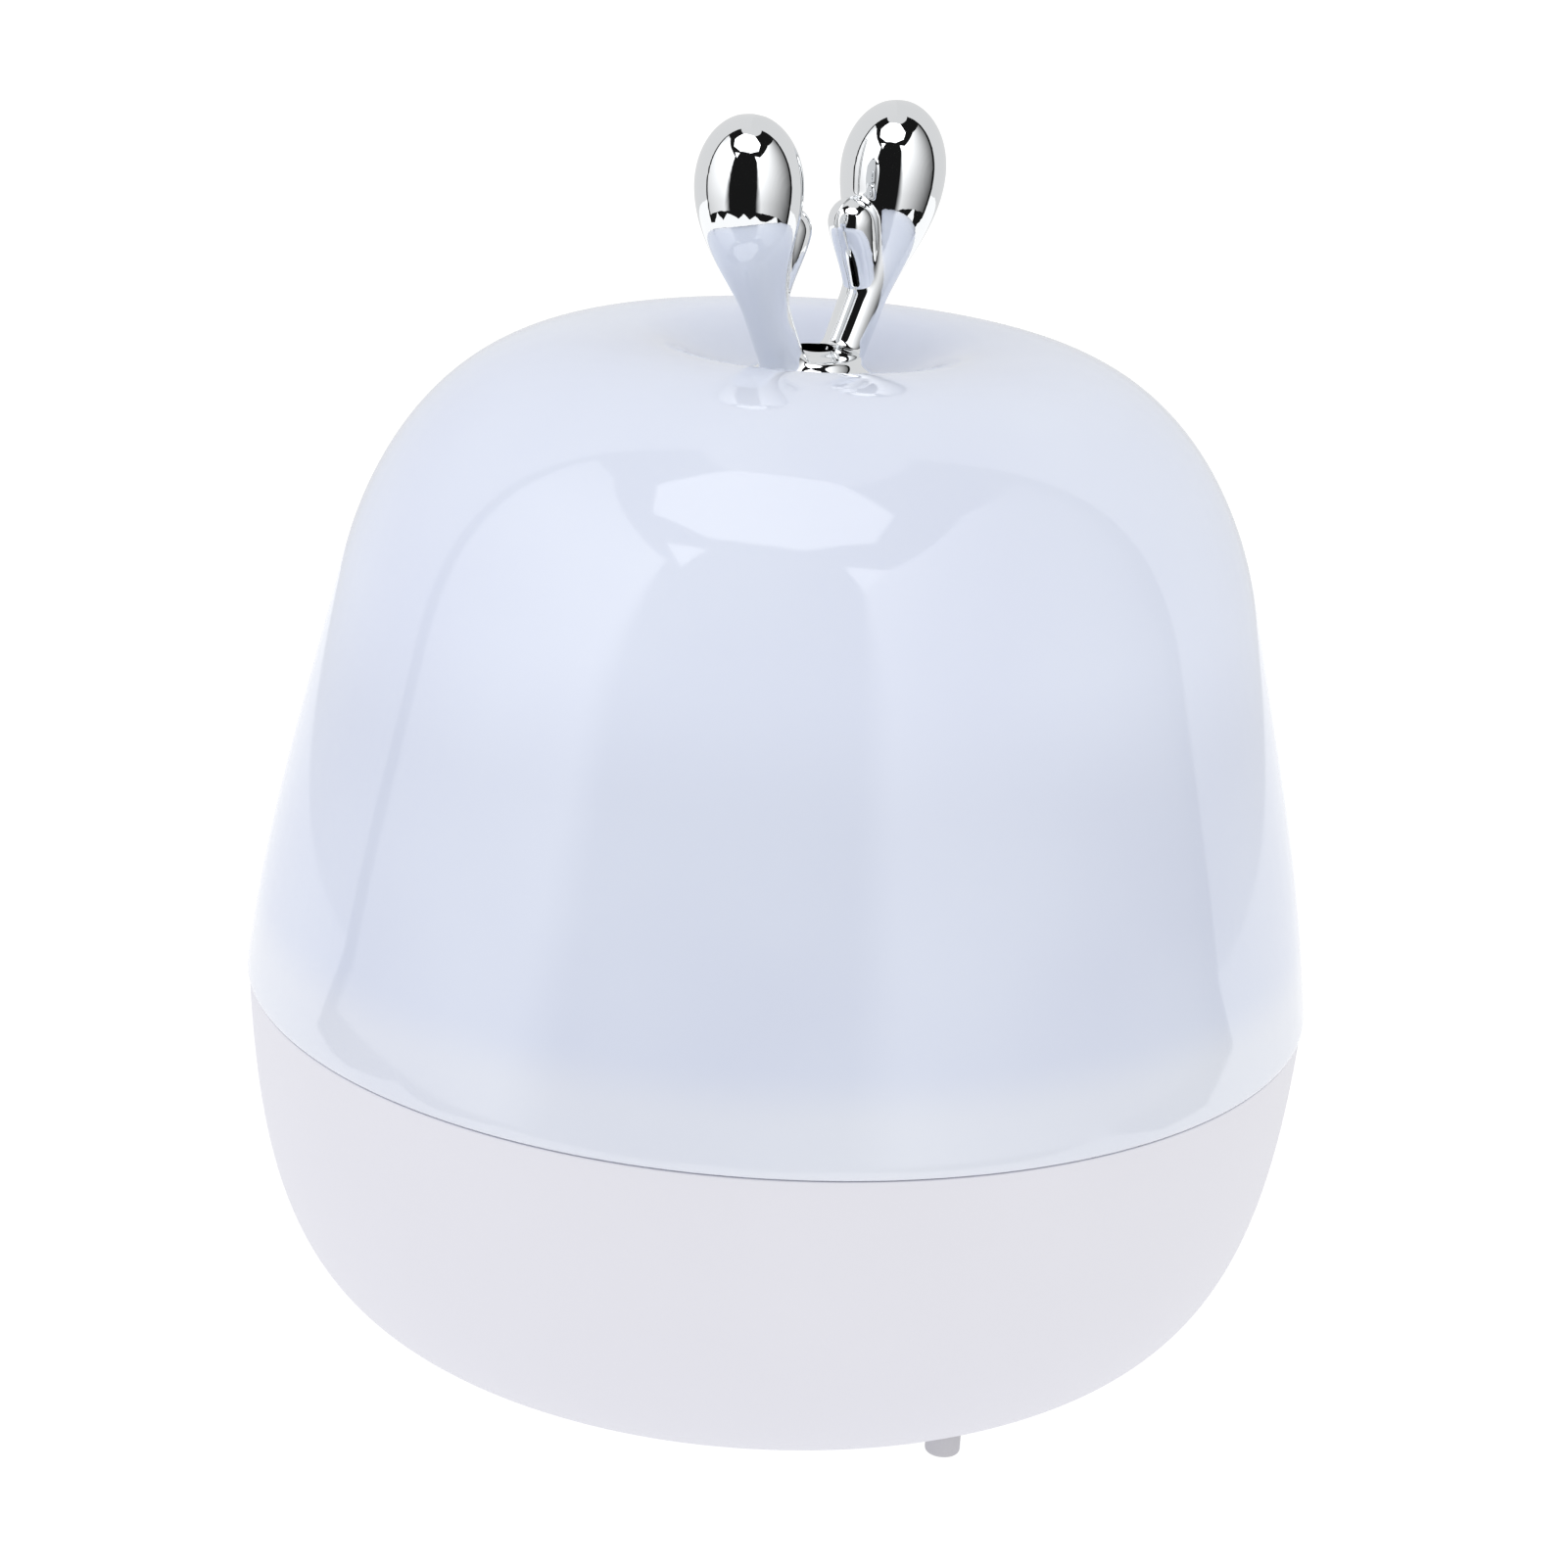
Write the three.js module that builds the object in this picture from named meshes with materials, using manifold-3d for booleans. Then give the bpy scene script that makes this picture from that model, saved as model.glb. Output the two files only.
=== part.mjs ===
// A round desktop cool mist humidifier: a matt bowl, a glossy opal dome and a pair of chrome antlers.
// Cotton draws water from an inner tank to a piezo mesh disc, and the mist leaves between the antlers.
// Millimetres, +Z up. The origin is on the vertical axis, level with the undersides of the feet.
// The antlers spread along X, and the power inlet and the button face +Y.
import * as THREE from "three";
import { mergeVertices } from "three/addons/utils/BufferGeometryUtils.js";
import Module from "manifold-3d";

const wasm = await Module();
wasm.setup();

// ---- Driving dimensions ----

// Outside of the body
const BODY_RADIUS = 55; // at the seam, where the dome meets the bowl
const BOWL_DEPTH = 35.6; // seam down to the flat underside
const UNDERSIDE_RADIUS = 34.3; // where the flat underside turns up into the bowl's side
const DOME_RISE = 66.85; // seam up to the highest ring of the dome
const CROWN_RADIUS = 19.7; // radius of that highest ring
const DIP_DEPTH = 3.95; // how far the middle of the dome sinks below the ring
const SEAT_RADIUS = 6.9; // flat in the middle of the dip, under the antlers' foot
const FOOT_DROP = 3.2; // how far the feet stand out below the underside

// Walls and the joint between bowl and dome
const DOME_WALL = 2.6;
const BOWL_WALL = 2.4;
const RIM_WALL = 1.3; // bowl wall beside the dome's lip
const SEAM_GAP = 0.4; // open line between bowl and dome
const DOME_OVERHANG = 0.3; // the bowl's rim is this much smaller than the dome's
const RIM_ROUND = 1; // rounded outer edge on both sides of the seam
const LIP_WALL = 1.4;
const LIP_DROP = 3; // how far the dome's lip reaches into the bowl

// Clearances
const FIT = 0.3; // between two pieces that touch
const SLIDE = 0.3; // round a piece that moves in a hole
const TANK_PLAY = 0.6; // round the tank in its well

// Feet
const FOOT_COUNT = 3;
const FOOT_RADIUS = 1.75;
const FOOT_OUTSET = 2.1; // feet centres outside the flat underside
const FIRST_FOOT = -108; // degrees, anticlockwise from +X seen from above
const FOOT_SOCKET = 3.6; // depth of the hole above the underside
const FOOT_BOSS_RADIUS = 4;
const FOOT_BOSS_TOP = 5.6; // above the underside
const FOOT_ROUND = 0.4;

// Bottom plate and its screws
const PLATE_MARGIN = 3.3; // flat ring of the bowl round the plate
const PLATE_THICKNESS = 2.6;
const PLATE_LEDGE = 3.3; // width of the ring that the plate is pulled up against
const LEDGE_THICKNESS = 1.7;
const SCREW_COUNT = 3;
const SCREW_INSET = 8; // screw centres inside the plate's edge
const SCREW_HEAD_RADIUS = 2.7;
const SCREW_HEAD_HEIGHT = 1.2;
const SCREW_SHANK_RADIUS = 1.3;
const SCREW_LENGTH = 10;
const SCREW_SLOT_WIDTH = 0.8;
const SCREW_SLOT_DEPTH = 0.7;
const POST_RADIUS = 3.4;

// Deck, which closes the electronics off from the tank's space
const DECK_SETBACK = 10.3; // its lower face below the seam
const DECK_THICKNESS = 2;
const DECK_LEDGE_WIDTH = 2;
const DECK_LEDGE_HEIGHT = 1.5;
const WELL_WALL = 1.6;
const WELL_HEIGHT = 3.5;

// Water tank and its lid
const LIGHT_SPACE = 16.2; // between the tank and the dome's lip
const TANK_WALL = 1.6;
const HEAD_ROOM = 27.1; // tank's rim below the dome's seat
const TANK_FOOT_CORNER = 2; // sloping corner round the tank's foot
const TANK_FLOOR_CORNER = 1.5; // and round its floor inside
const LID_THICKNESS = 2;
const LID_OVERHANG = 1.5;
const SKIRT_WALL = 2;
const SKIRT_DROP = 4;
const SEAL_HALF = 0.75; // half the width of the sealing ring's section
const SEAL_SETBACK = 2; // the ring's centre below the lid
const SEAL_TO_TANK = 0.1; // the ring is drawn just short of the wall that it presses on

// Wick and its tube
const WICK_RADIUS = 4.2;
const TUBE_WALL = 0.9;
const TUBE_SOCKET_DEPTH = 8;
const TUBE_SOCKET_WALL = 1.4;
const TUBE_FLOOR_GAP = 1; // foot cap above the tank's floor
const FOOT_CAP_FLOOR = 1.2;
const FOOT_CAP_HEIGHT = 6;
const FOOT_CAP_WALL = 1.1;
const FOOT_CAP_SLOT = 1.6;
const SPRING_TURNS = 4;
const SPRING_PITCH = 1.5;
const SPRING_WIRE = 0.6;

// Mist head on the lid
const DISC_RADIUS = 8;
const DISC_THICKNESS = 0.6;
const DISC_SEAL_HEIGHT = 1.8;
const DISC_SEAL_WIDTH = 3.2;
const DISC_SEAL_RIM = 1; // seal beyond the disc's edge
const CAP_WALL = 1.7;
const CAP_ROOF = 2;
const CAP_CHAMFER = 1;
const CAP_HOLE_RADIUS = 3.5;
const CAP_HOLE_FLARE = 1;

// Contacts that feed the mist head
const COLUMN_WIDTH = 9;
const COLUMN_DEPTH = 3.8;
const COLUMN_SETBACK = 2.3; // its top below the tank's rim
const PIN_RADIUS = 0.9;
const PIN_SPACING = 4.4;
const PIN_SOCKET_DEPTH = 5;
const PAD_RADIUS = 1.5;
const PAD_THICKNESS = 0.6;
const TAB_MARGIN = 0.8; // lid tab beyond the column, on each side

// Light ring
const LED_COUNT = 6;
const LED_WIDTH = 3.5;
const LED_DEPTH = 2.8;
const LED_HEIGHT = 1.8;
const LED_BOARD_THICKNESS = 1.4;
const LED_BOARD_WIDTH = 7;
const FIRST_LED = -60; // degrees, anticlockwise from +X seen from above

// Upright circuit board, power inlet and button
const BOARD_WIDTH = 34;
const BOARD_HEIGHT = 15;
const BOARD_THICKNESS = 1.6;
const CONTROLS_DROP = 8.3; // inlet and button centres below the deck
const INLET_X = 8;
const BUTTON_X = -7;
const INLET_WIDTH = 8.9;
const INLET_HEIGHT = 3.3;
const INLET_DEPTH = 7.3;
const INLET_WALL = 0.35;
const INLET_RECESS = 1.6; // mouth behind the bowl's surface
const INLET_CUTOUT_MARGIN = 1.6;
const TONGUE_MARGIN = 1.2; // from the tongue's edge to the side of the can
const TONGUE_SETBACK = 0.8; // behind the mouth
const INLET_BACK = 1; // solid rear of the can
const SWITCH_SIZE = 6;
const SWITCH_DEPTH = 3.1;
const PLUNGER_RADIUS = 1.7;
const PLUNGER_HEIGHT = 0.6;
const BUTTON_RADIUS = 4;
const BUTTON_PROUD = 0.9;
const BUTTON_TRAVEL = 0.5;
const BUTTON_SLACK = 0.1; // left between cap and plunger at the end of the travel
const BUTTON_FLANGE = 0.8;
const BUTTON_FLANGE_THICKNESS = 1;
const BOSS_WALL = 1.6;
const PILLAR_SIZE = 4;
const BOARD_SCREW_RADIUS = 0.9;
const BOARD_SCREW_HEAD = 1.7;
const BOARD_SCREW_HEAD_HEIGHT = 1;
const BOARD_SCREW_LENGTH = 3.4;
const LEAD_RADIUS = 0.6;
const LEAD_OFFSET = 3; // beside the contact column

// Antlers
const ANTLER_HEIGHT = 25.8; // root to tip
const ANTLER_ROOT = 3.9; // root from the axis
const ANTLER_SPREAD = 10.9; // tip from the axis
const ANTLER_ELBOW = new THREE.Vector2(6.3, 10.8); // first curve handle, out and up from the root
const ANTLER_RETURN = new THREE.Vector2(0.5, -9.6); // second curve handle, from the tip
const STEM_RADIUS = 2.3;
const BULB_RADIUS = 5.3;
const BULB_CAP = 7; // tip above the bulb's widest ring
const BULB_TAPER = 13.8; // length over which the stem swells into the bulb
const TINE_START = 0.28; // share of the antler's curve where the tine leaves it
const TINE_TIP = new THREE.Vector2(4.2, 80.3); // axis distance, and height above the seam
const TINE_ROOT_RADIUS = 2;
const TINE_KNOB_RADIUS = 2.5;
const FLARE_HEIGHT = 2.1;
const FLARE_TOP_RADIUS = 5;
const FLARE_FOOT_RADIUS = 6.4;
const FLARE_EDGE = 0.4;
const MIST_BORE = 2.2;
const SPOUT_RADIUS = 4;
const SPOUT_DROP = 10; // hollow stem below the foot
const NUT_RADIUS = 6.5; // across the corners
const NUT_HEIGHT = 3;
const SLEEVE_WALL = 1;
const SLEEVE_FLARE = 1.4;
const SLEEVE_GAP = 0.8; // sleeve above the head cap

const THROUGH = 1; // how far a cutting tool runs past the face that it opens

// How finely round shapes are cut
const ROUND_BIG = 40;
const ROUND_MEDIUM = 24;
const ROUND_SMALL = 12;

// ---- Heights and radii that follow ----

const UNDERSIDE_Z = FOOT_DROP;
const SEAM_Z = UNDERSIDE_Z + BOWL_DEPTH;
const DOME_FOOT_Z = SEAM_Z + SEAM_GAP / 2;
const BOWL_TOP_Z = SEAM_Z - SEAM_GAP / 2;
const SEAT_Z = SEAM_Z + DOME_RISE - DIP_DEPTH;
const LIP_BOTTOM_Z = SEAM_Z - LIP_DROP;
const LIP_OUTER = BODY_RADIUS - DOME_OVERHANG - RIM_WALL - SLIDE;
const LIP_INNER = LIP_OUTER - LIP_WALL;
const FOOT_CIRCLE = UNDERSIDE_RADIUS + FOOT_OUTSET;
const PLATE_RADIUS = UNDERSIDE_RADIUS - PLATE_MARGIN;
const PLATE_TOP_Z = UNDERSIDE_Z + PLATE_THICKNESS;
const SCREW_CIRCLE = PLATE_RADIUS - SCREW_INSET;
const FIRST_SCREW = FIRST_FOOT + 180 / FOOT_COUNT;
const LEDGE_BOTTOM_Z = PLATE_TOP_Z + FIT;
const LEDGE_TOP_Z = LEDGE_BOTTOM_Z + LEDGE_THICKNESS;
const DECK_Z = SEAM_Z - DECK_SETBACK;
const DECK_TOP_Z = DECK_Z + DECK_THICKNESS;
const TANK_RADIUS = LIP_INNER - LIGHT_SPACE;
const TANK_INNER = TANK_RADIUS - TANK_WALL;
const TANK_Z = DECK_TOP_Z + FIT;
const TANK_FLOOR_Z = TANK_Z + TANK_WALL;
const TANK_TOP_Z = SEAT_Z - HEAD_ROOM;
const LID_Z = TANK_TOP_Z + FIT;
const LID_TOP_Z = LID_Z + LID_THICKNESS;
const DISC_SEAL_Z = LID_TOP_Z + FIT;
const DISC_Z = DISC_SEAL_Z + DISC_SEAL_HEIGHT + FIT;
const CAP_ROOF_Z = DISC_Z + DISC_THICKNESS + FIT;
const CAP_TOP_Z = CAP_ROOF_Z + CAP_ROOF;
const WELL_RADIUS = TANK_RADIUS + TANK_PLAY;
const TUBE_INNER = WICK_RADIUS + FIT;
const TUBE_OUTER = TUBE_INNER + TUBE_WALL;
const FOOT_CAP_Z = TANK_FLOOR_Z + TUBE_FLOOR_GAP;
const TUBE_Z = FOOT_CAP_Z + FOOT_CAP_FLOOR + FIT;
const SPRING_Z = TUBE_Z + SPRING_WIRE / 2;
const WICK_Z = SPRING_Z + SPRING_TURNS * SPRING_PITCH + SPRING_WIRE / 2 + FIT;
const COLUMN_Y = WELL_RADIUS + WELL_WALL + FIT;
const COLUMN_TOP_Z = TANK_TOP_Z - COLUMN_SETBACK;
const PIN_Y = COLUMN_Y + COLUMN_DEPTH / 2;
const SEAL_Z = LID_Z - SEAL_SETBACK;
const LED_RING_INNER = WELL_RADIUS + WELL_WALL + 2 * FIT;
const LED_BOARD_Z = DECK_TOP_Z + FIT;
const LED_Z = LED_BOARD_Z + LED_BOARD_THICKNESS + FIT;
const CONTROLS_Z = DECK_Z - CONTROLS_DROP;
const BOARD_TOP_Z = DECK_Z - 2 * FIT;
const PILLAR_X = BOARD_WIDTH / 2 - PILLAR_SIZE / 2;
const FLARE_Z = SEAT_Z + FIT;

// ---- Materials ----

const finish = (color, roughness, metalness = 0) =>
  new THREE.MeshStandardMaterial({ color, roughness, metalness });
const OPAL_GLOSS = finish(0xdde1f0, 0.12);
const MATT_WHITE = finish(0xe4e3ea, 0.5);
const WHITE_ABS = finish(0xeeeeee, 0.55);
const FROSTED_PP = finish(0xe6ebee, 0.4);
const CHROME = finish(0xd8d8da, 0.05, 1);
const SILICONE = finish(0xd9dde0, 0.6);
const FOOT_RUBBER = finish(0xbebdc3, 0.75);
const COTTON = finish(0xf3f1ea, 0.95);
const STEEL = finish(0xb9bcc0, 0.3, 1);
const BRASS = finish(0xd2b15c, 0.3, 1);
const PIEZO = finish(0xc9c4b4, 0.35, 1);
const BOARD_GREEN = finish(0x1f6b45, 0.5);
const BLACK_PLASTIC = finish(0x202225, 0.5);
const LED_YELLOW = finish(0xf2dc8a, 0.4);
const WIRE_RED = finish(0xb23a36, 0.55);

// ---- Shapes ----

// A turned body from its outline: [radius, height] pairs, anticlockwise, that start and end on the axis.
function turned(outline, segments = ROUND_MEDIUM) {
  const points = outline.map(([radius, height]) => new THREE.Vector2(radius, height));
  return new THREE.LatheGeometry(points, segments).rotateX(Math.PI / 2);
}

// A turned body whose outline closes on itself, such as a ring or a shell with a hole in it.
function turnedRing(outline, segments = ROUND_MEDIUM) {
  return turned([...outline, outline[0]], segments);
}

function ring(inner, outer, bottom, top, segments = ROUND_MEDIUM) {
  return turnedRing([[inner, bottom], [outer, bottom], [outer, top], [inner, top]], segments);
}

function disc(radius, bottom, top, segments = ROUND_MEDIUM) {
  return turned([[0, bottom], [radius, bottom], [radius, top], [0, top]], segments);
}

// A small round peg or hole away from the axis.
function peg(radius, [bottom, top], [x, y]) {
  return disc(radius, bottom, top, ROUND_SMALL).translate(x, y, 0);
}

function box([x0, x1], [y0, y1], [z0, z1]) {
  return new THREE.BoxGeometry(x1 - x0, y1 - y0, z1 - z0).translate(
    (x0 + x1) / 2,
    (y0 + y1) / 2,
    (z0 + z1) / 2,
  );
}

// A round rod along Y, from one y to another.
function rodAlongY(radius, [y0, y1], x, z, segments = ROUND_SMALL) {
  return new THREE.CylinderGeometry(radius, radius, y1 - y0, segments).translate(x, (y0 + y1) / 2, z);
}

// A bar along Y whose section has fully round ends, wider than it is tall.
function slotAlongY(width, height, [y0, y1], x, z) {
  const straight = (width - height) / 2;
  const section = new THREE.Shape();
  section.absarc(straight, 0, height / 2, -Math.PI / 2, Math.PI / 2);
  section.absarc(-straight, 0, height / 2, Math.PI / 2, (3 * Math.PI) / 2);
  return new THREE.ExtrudeGeometry(section, { depth: y1 - y0, bevelEnabled: false, curveSegments: 6 })
    .rotateX(Math.PI / 2)
    .translate(x, y1, z);
}

// A round wire along a smooth curve through the given points.
function wire(radius, points, steps) {
  const section = new THREE.Shape().absarc(0, 0, radius, 0, 2 * Math.PI);
  const extrudePath = new THREE.CatmullRomCurve3(points.map((p) => new THREE.Vector3(...p)));
  const settings = { steps, extrudePath, bevelEnabled: false, curveSegments: 3 };
  return new THREE.ExtrudeGeometry(section, settings);
}

// Solids for joining and cutting, and back again to geometry for display.
function solid(geometry) {
  const bare = geometry.clone();
  bare.deleteAttribute("normal");
  bare.deleteAttribute("uv");
  const merged = mergeVertices(bare, 1e-4);
  return new wasm.Manifold(
    new wasm.Mesh({
      numProp: 3,
      vertProperties: merged.attributes.position.array,
      triVerts: new Uint32Array(merged.index.array),
    }),
  );
}

function joined(geometries) {
  return geometries.map(solid).reduce((whole, piece) => whole.add(piece));
}

function cut(body, tools) {
  return tools.map(solid).reduce((rest, tool) => rest.subtract(tool), body);
}

function shown(body) {
  const { numProp, vertProperties, triVerts } = body.getMesh();
  const geometry = new THREE.BufferGeometry();
  const positions = new THREE.BufferAttribute(new Float32Array(vertProperties), numProp);
  geometry.setAttribute("position", positions);
  geometry.setIndex(new THREE.BufferAttribute(new Uint32Array(triVerts), 1));
  const flat = geometry.toNonIndexed();
  flat.computeVertexNormals();
  return flat;
}

const model = new THREE.Group();

function addNode(name, shape, material) {
  const geometry = shape.isBufferGeometry ? shape : shown(shape);
  const mesh = new THREE.Mesh(geometry, material);
  mesh.name = name;
  model.add(mesh);
  return mesh;
}

// The points of a circle of equal pieces: [x, y, angle in radians] for each.
function around(count, radius, firstDegrees) {
  return Array.from({ length: count }, (_, i) => {
    const angle = THREE.MathUtils.degToRad(firstDegrees + (i * 360) / count);
    return [radius * Math.cos(angle), radius * Math.sin(angle), angle];
  });
}

// ---- Outlines of the body ----

function curvePoints(curve, count) {
  return curve.getPoints(count).map((p) => [p.x, p.y]);
}

// A cubic curve between two [radius, height] points, leaving and arriving along the given handles.
function sweep(from, leave, arrive, to, count) {
  const curve = new THREE.CubicBezierCurve(
    new THREE.Vector2(...from),
    new THREE.Vector2(from[0] + leave[0], from[1] + leave[1]),
    new THREE.Vector2(to[0] + arrive[0], to[1] + arrive[1]),
    new THREE.Vector2(...to),
  );
  return curvePoints(curve, count);
}

// The bowl's side, from the edge of its flat underside up to the seam.
function bowlSide() {
  return sweep(
    [UNDERSIDE_RADIUS, UNDERSIDE_Z],
    [0.77 * (BODY_RADIUS - UNDERSIDE_RADIUS), 0],
    [-0.03 * BOWL_DEPTH, -0.54 * BOWL_DEPTH],
    [BODY_RADIUS - DOME_OVERHANG, BOWL_TOP_Z],
    10,
  );
}

// The dome from its foot over the shoulder to the crown, then down into the dip as far as the seat.
function domeOutline() {
  const knee = [0.841 * BODY_RADIUS, SEAM_Z + 0.629 * DOME_RISE];
  const crown = [CROWN_RADIUS, SEAM_Z + DOME_RISE];
  const flank = sweep(
    [BODY_RADIUS, DOME_FOOT_Z],
    [-0.028 * DOME_RISE, 0.23 * DOME_RISE],
    [0.061 * DOME_RISE, -0.258 * DOME_RISE],
    knee,
    5,
  );
  const shoulder = sweep(
    knee,
    [-0.05 * DOME_RISE, 0.213 * DOME_RISE],
    [0.55 * (knee[0] - CROWN_RADIUS), 0],
    crown,
    7,
  );
  const dipSteps = 5;
  const dip = Array.from({ length: dipSteps }, (_, i) => {
    const share = (i + 1) / dipSteps;
    return [
      THREE.MathUtils.lerp(CROWN_RADIUS, SEAT_RADIUS, share),
      crown[1] - (DIP_DEPTH * (1 - Math.cos(Math.PI * share))) / 2,
    ];
  });
  return [...flank, ...shoulder.slice(1), ...dip];
}

// The same outline moved sideways by a distance, to the left of the way it runs (inwards, going up).
function offset(outline, distance) {
  return outline.map(([radius, height], i) => {
    const before = outline[Math.max(i - 1, 0)];
    const after = outline[Math.min(i + 1, outline.length - 1)];
    const run = Math.hypot(after[0] - before[0], after[1] - before[1]);
    return [
      radius - (distance * (after[1] - before[1])) / run,
      height + (distance * (after[0] - before[0])) / run,
    ];
  });
}

// Radius of an outline that climbs steadily, at a height.
function radiusAt(outline, height) {
  const next = outline.findIndex((point) => point[1] >= height);
  const [[r0, z0], [r1, z1]] = [outline[next - 1], outline[next]];
  return THREE.MathUtils.mapLinear(height, z0, z1, r0, r1);
}

// Where the surface of radius r stands in y, at a distance x to the side of the middle.
function depthAt(radius, x) {
  return Math.sqrt(radius * radius - x * x);
}

const BOWL_SIDE = bowlSide();
const BOWL_INSIDE = offset(BOWL_SIDE, BOWL_WALL);
const DOME_OUTSIDE = domeOutline();
const INLET_MOUTH_Y =
  depthAt(radiusAt(BOWL_SIDE, CONTROLS_Z), INLET_X + INLET_WIDTH / 2) - INLET_RECESS;
const BOARD_FACE_Y = INLET_MOUTH_Y - INLET_DEPTH - FIT;
const PLUNGER_TIP_Y = BOARD_FACE_Y + FIT + SWITCH_DEPTH + PLUNGER_HEIGHT;
const BUTTON_BACK_Y = PLUNGER_TIP_Y + BUTTON_TRAVEL + BUTTON_SLACK;
const BUTTON_FLANGE_Y = BUTTON_BACK_Y + BUTTON_FLANGE_THICKNESS;
const LEAD_SPOT = [COLUMN_WIDTH / 2 + LEAD_OFFSET, BOARD_FACE_Y + FIT + LEAD_RADIUS];

// ---- Bowl ----

function bowlShell() {
  const rimInner = LIP_OUTER + SLIDE;
  const rimFloorZ = LIP_BOTTOM_Z - SLIDE;
  const ledgeTopZ = DECK_Z - FIT;
  const ledgeBottomZ = ledgeTopZ - DECK_LEDGE_HEIGHT;
  const plateHole = PLATE_RADIUS + FIT;
  const inside = (low, high) => BOWL_INSIDE.filter(([, z]) => z > low && z < high).reverse();
  const wallAt = (z) => [radiusAt(BOWL_INSIDE, z), z];
  const side = BOWL_SIDE.filter(([, z]) => z < BOWL_TOP_Z - RIM_ROUND);
  const shell = turnedRing(
    [
      [plateHole, UNDERSIDE_Z],
      ...side,
      [radiusAt(BOWL_SIDE, BOWL_TOP_Z - RIM_ROUND), BOWL_TOP_Z - RIM_ROUND],
      [BODY_RADIUS - DOME_OVERHANG - 0.3 * RIM_ROUND, BOWL_TOP_Z - 0.3 * RIM_ROUND],
      [BODY_RADIUS - DOME_OVERHANG - RIM_ROUND, BOWL_TOP_Z],
      [rimInner, BOWL_TOP_Z],
      [rimInner, rimFloorZ],
      wallAt(rimFloorZ),
      ...inside(ledgeTopZ, rimFloorZ),
      wallAt(ledgeTopZ),
      [radiusAt(BOWL_INSIDE, ledgeTopZ) - DECK_LEDGE_WIDTH, ledgeTopZ],
      [radiusAt(BOWL_INSIDE, ledgeTopZ) - DECK_LEDGE_WIDTH, ledgeBottomZ],
      wallAt(ledgeBottomZ),
      ...inside(LEDGE_TOP_Z, ledgeBottomZ),
      wallAt(LEDGE_TOP_Z),
      [PLATE_RADIUS - PLATE_LEDGE, LEDGE_TOP_Z],
      [PLATE_RADIUS - PLATE_LEDGE, LEDGE_BOTTOM_Z],
      [plateHole, LEDGE_BOTTOM_Z],
    ],
    ROUND_BIG,
  );
  const feet = around(FOOT_COUNT, FOOT_CIRCLE, FIRST_FOOT);
  const bossEnds = [UNDERSIDE_Z + BOWL_WALL / 2, UNDERSIDE_Z + FOOT_BOSS_TOP];
  const footBosses = feet.map((spot) => peg(FOOT_BOSS_RADIUS, bossEnds, spot));
  const footSockets = feet.map((spot) => peg(FOOT_RADIUS + FIT, [0, UNDERSIDE_Z + FOOT_SOCKET], spot));
  const filled = solid(turned([[0, UNDERSIDE_Z], ...BOWL_SIDE, [0, BOWL_TOP_Z]], ROUND_BIG));
  const guideRadius = BUTTON_RADIUS + SLIDE + BOSS_WALL;
  const guideEnds = [BUTTON_FLANGE_Y + SLIDE, BODY_RADIUS];
  const guide = rodAlongY(guideRadius, guideEnds, BUTTON_X, CONTROLS_Z, ROUND_MEDIUM);
  const outward = [BUTTON_BACK_Y, BODY_RADIUS];
  const margin = 2 * INLET_CUTOUT_MARGIN;
  return cut(joined([shell, ...footBosses]).add(solid(guide).intersect(filled)), [
    ...footSockets,
    rodAlongY(BUTTON_RADIUS + SLIDE, outward, BUTTON_X, CONTROLS_Z, ROUND_MEDIUM),
    slotAlongY(INLET_WIDTH + margin, INLET_HEIGHT + margin, outward, INLET_X, CONTROLS_Z),
  ]);
}

function buttonCap() {
  const reach = offset(BOWL_SIDE, -BUTTON_PROUD);
  const limit = turned([[0, UNDERSIDE_Z], ...reach, [0, BOWL_TOP_Z]], ROUND_BIG);
  const stemEnds = [BUTTON_BACK_Y, 2 * BODY_RADIUS];
  const stem = rodAlongY(BUTTON_RADIUS, stemEnds, BUTTON_X, CONTROLS_Z, ROUND_MEDIUM);
  const flangeEnds = [BUTTON_BACK_Y, BUTTON_FLANGE_Y];
  const flangeRadius = BUTTON_RADIUS + BUTTON_FLANGE;
  const flange = rodAlongY(flangeRadius, flangeEnds, BUTTON_X, CONTROLS_Z, ROUND_MEDIUM);
  return solid(stem).intersect(solid(limit)).add(solid(flange));
}

function bottomPlate() {
  const plate = disc(PLATE_RADIUS, UNDERSIDE_Z, PLATE_TOP_Z, ROUND_BIG);
  const sunk = [0, UNDERSIDE_Z + SCREW_HEAD_HEIGHT + 2 * FIT];
  const holes = around(SCREW_COUNT, SCREW_CIRCLE, FIRST_SCREW).flatMap((spot) => [
    peg(SCREW_SHANK_RADIUS + FIT, [0, PLATE_TOP_Z + THROUGH], spot),
    peg(SCREW_HEAD_RADIUS + FIT, sunk, spot),
  ]);
  return cut(solid(plate), holes);
}

// A cross-headed screw, head down, from the bottom plate up into a post of the deck.
function bottomScrew() {
  const headZ = UNDERSIDE_Z + FIT;
  const shoulderZ = headZ + SCREW_HEAD_HEIGHT;
  const body = turned(
    [
      [0, headZ],
      [SCREW_HEAD_RADIUS, headZ],
      [SCREW_HEAD_RADIUS, shoulderZ],
      [SCREW_SHANK_RADIUS, shoulderZ],
      [SCREW_SHANK_RADIUS, shoulderZ + SCREW_LENGTH],
      [0, shoulderZ + SCREW_LENGTH + SCREW_SHANK_RADIUS],
    ],
    ROUND_SMALL,
  );
  const long = [-0.7 * SCREW_HEAD_RADIUS, 0.7 * SCREW_HEAD_RADIUS];
  const narrow = [-SCREW_SLOT_WIDTH / 2, SCREW_SLOT_WIDTH / 2];
  const depth = [0, headZ + SCREW_SLOT_DEPTH];
  return cut(solid(body), [box(long, narrow, depth), box(narrow, long, depth)]);
}

// ---- Deck and electronics ----

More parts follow.
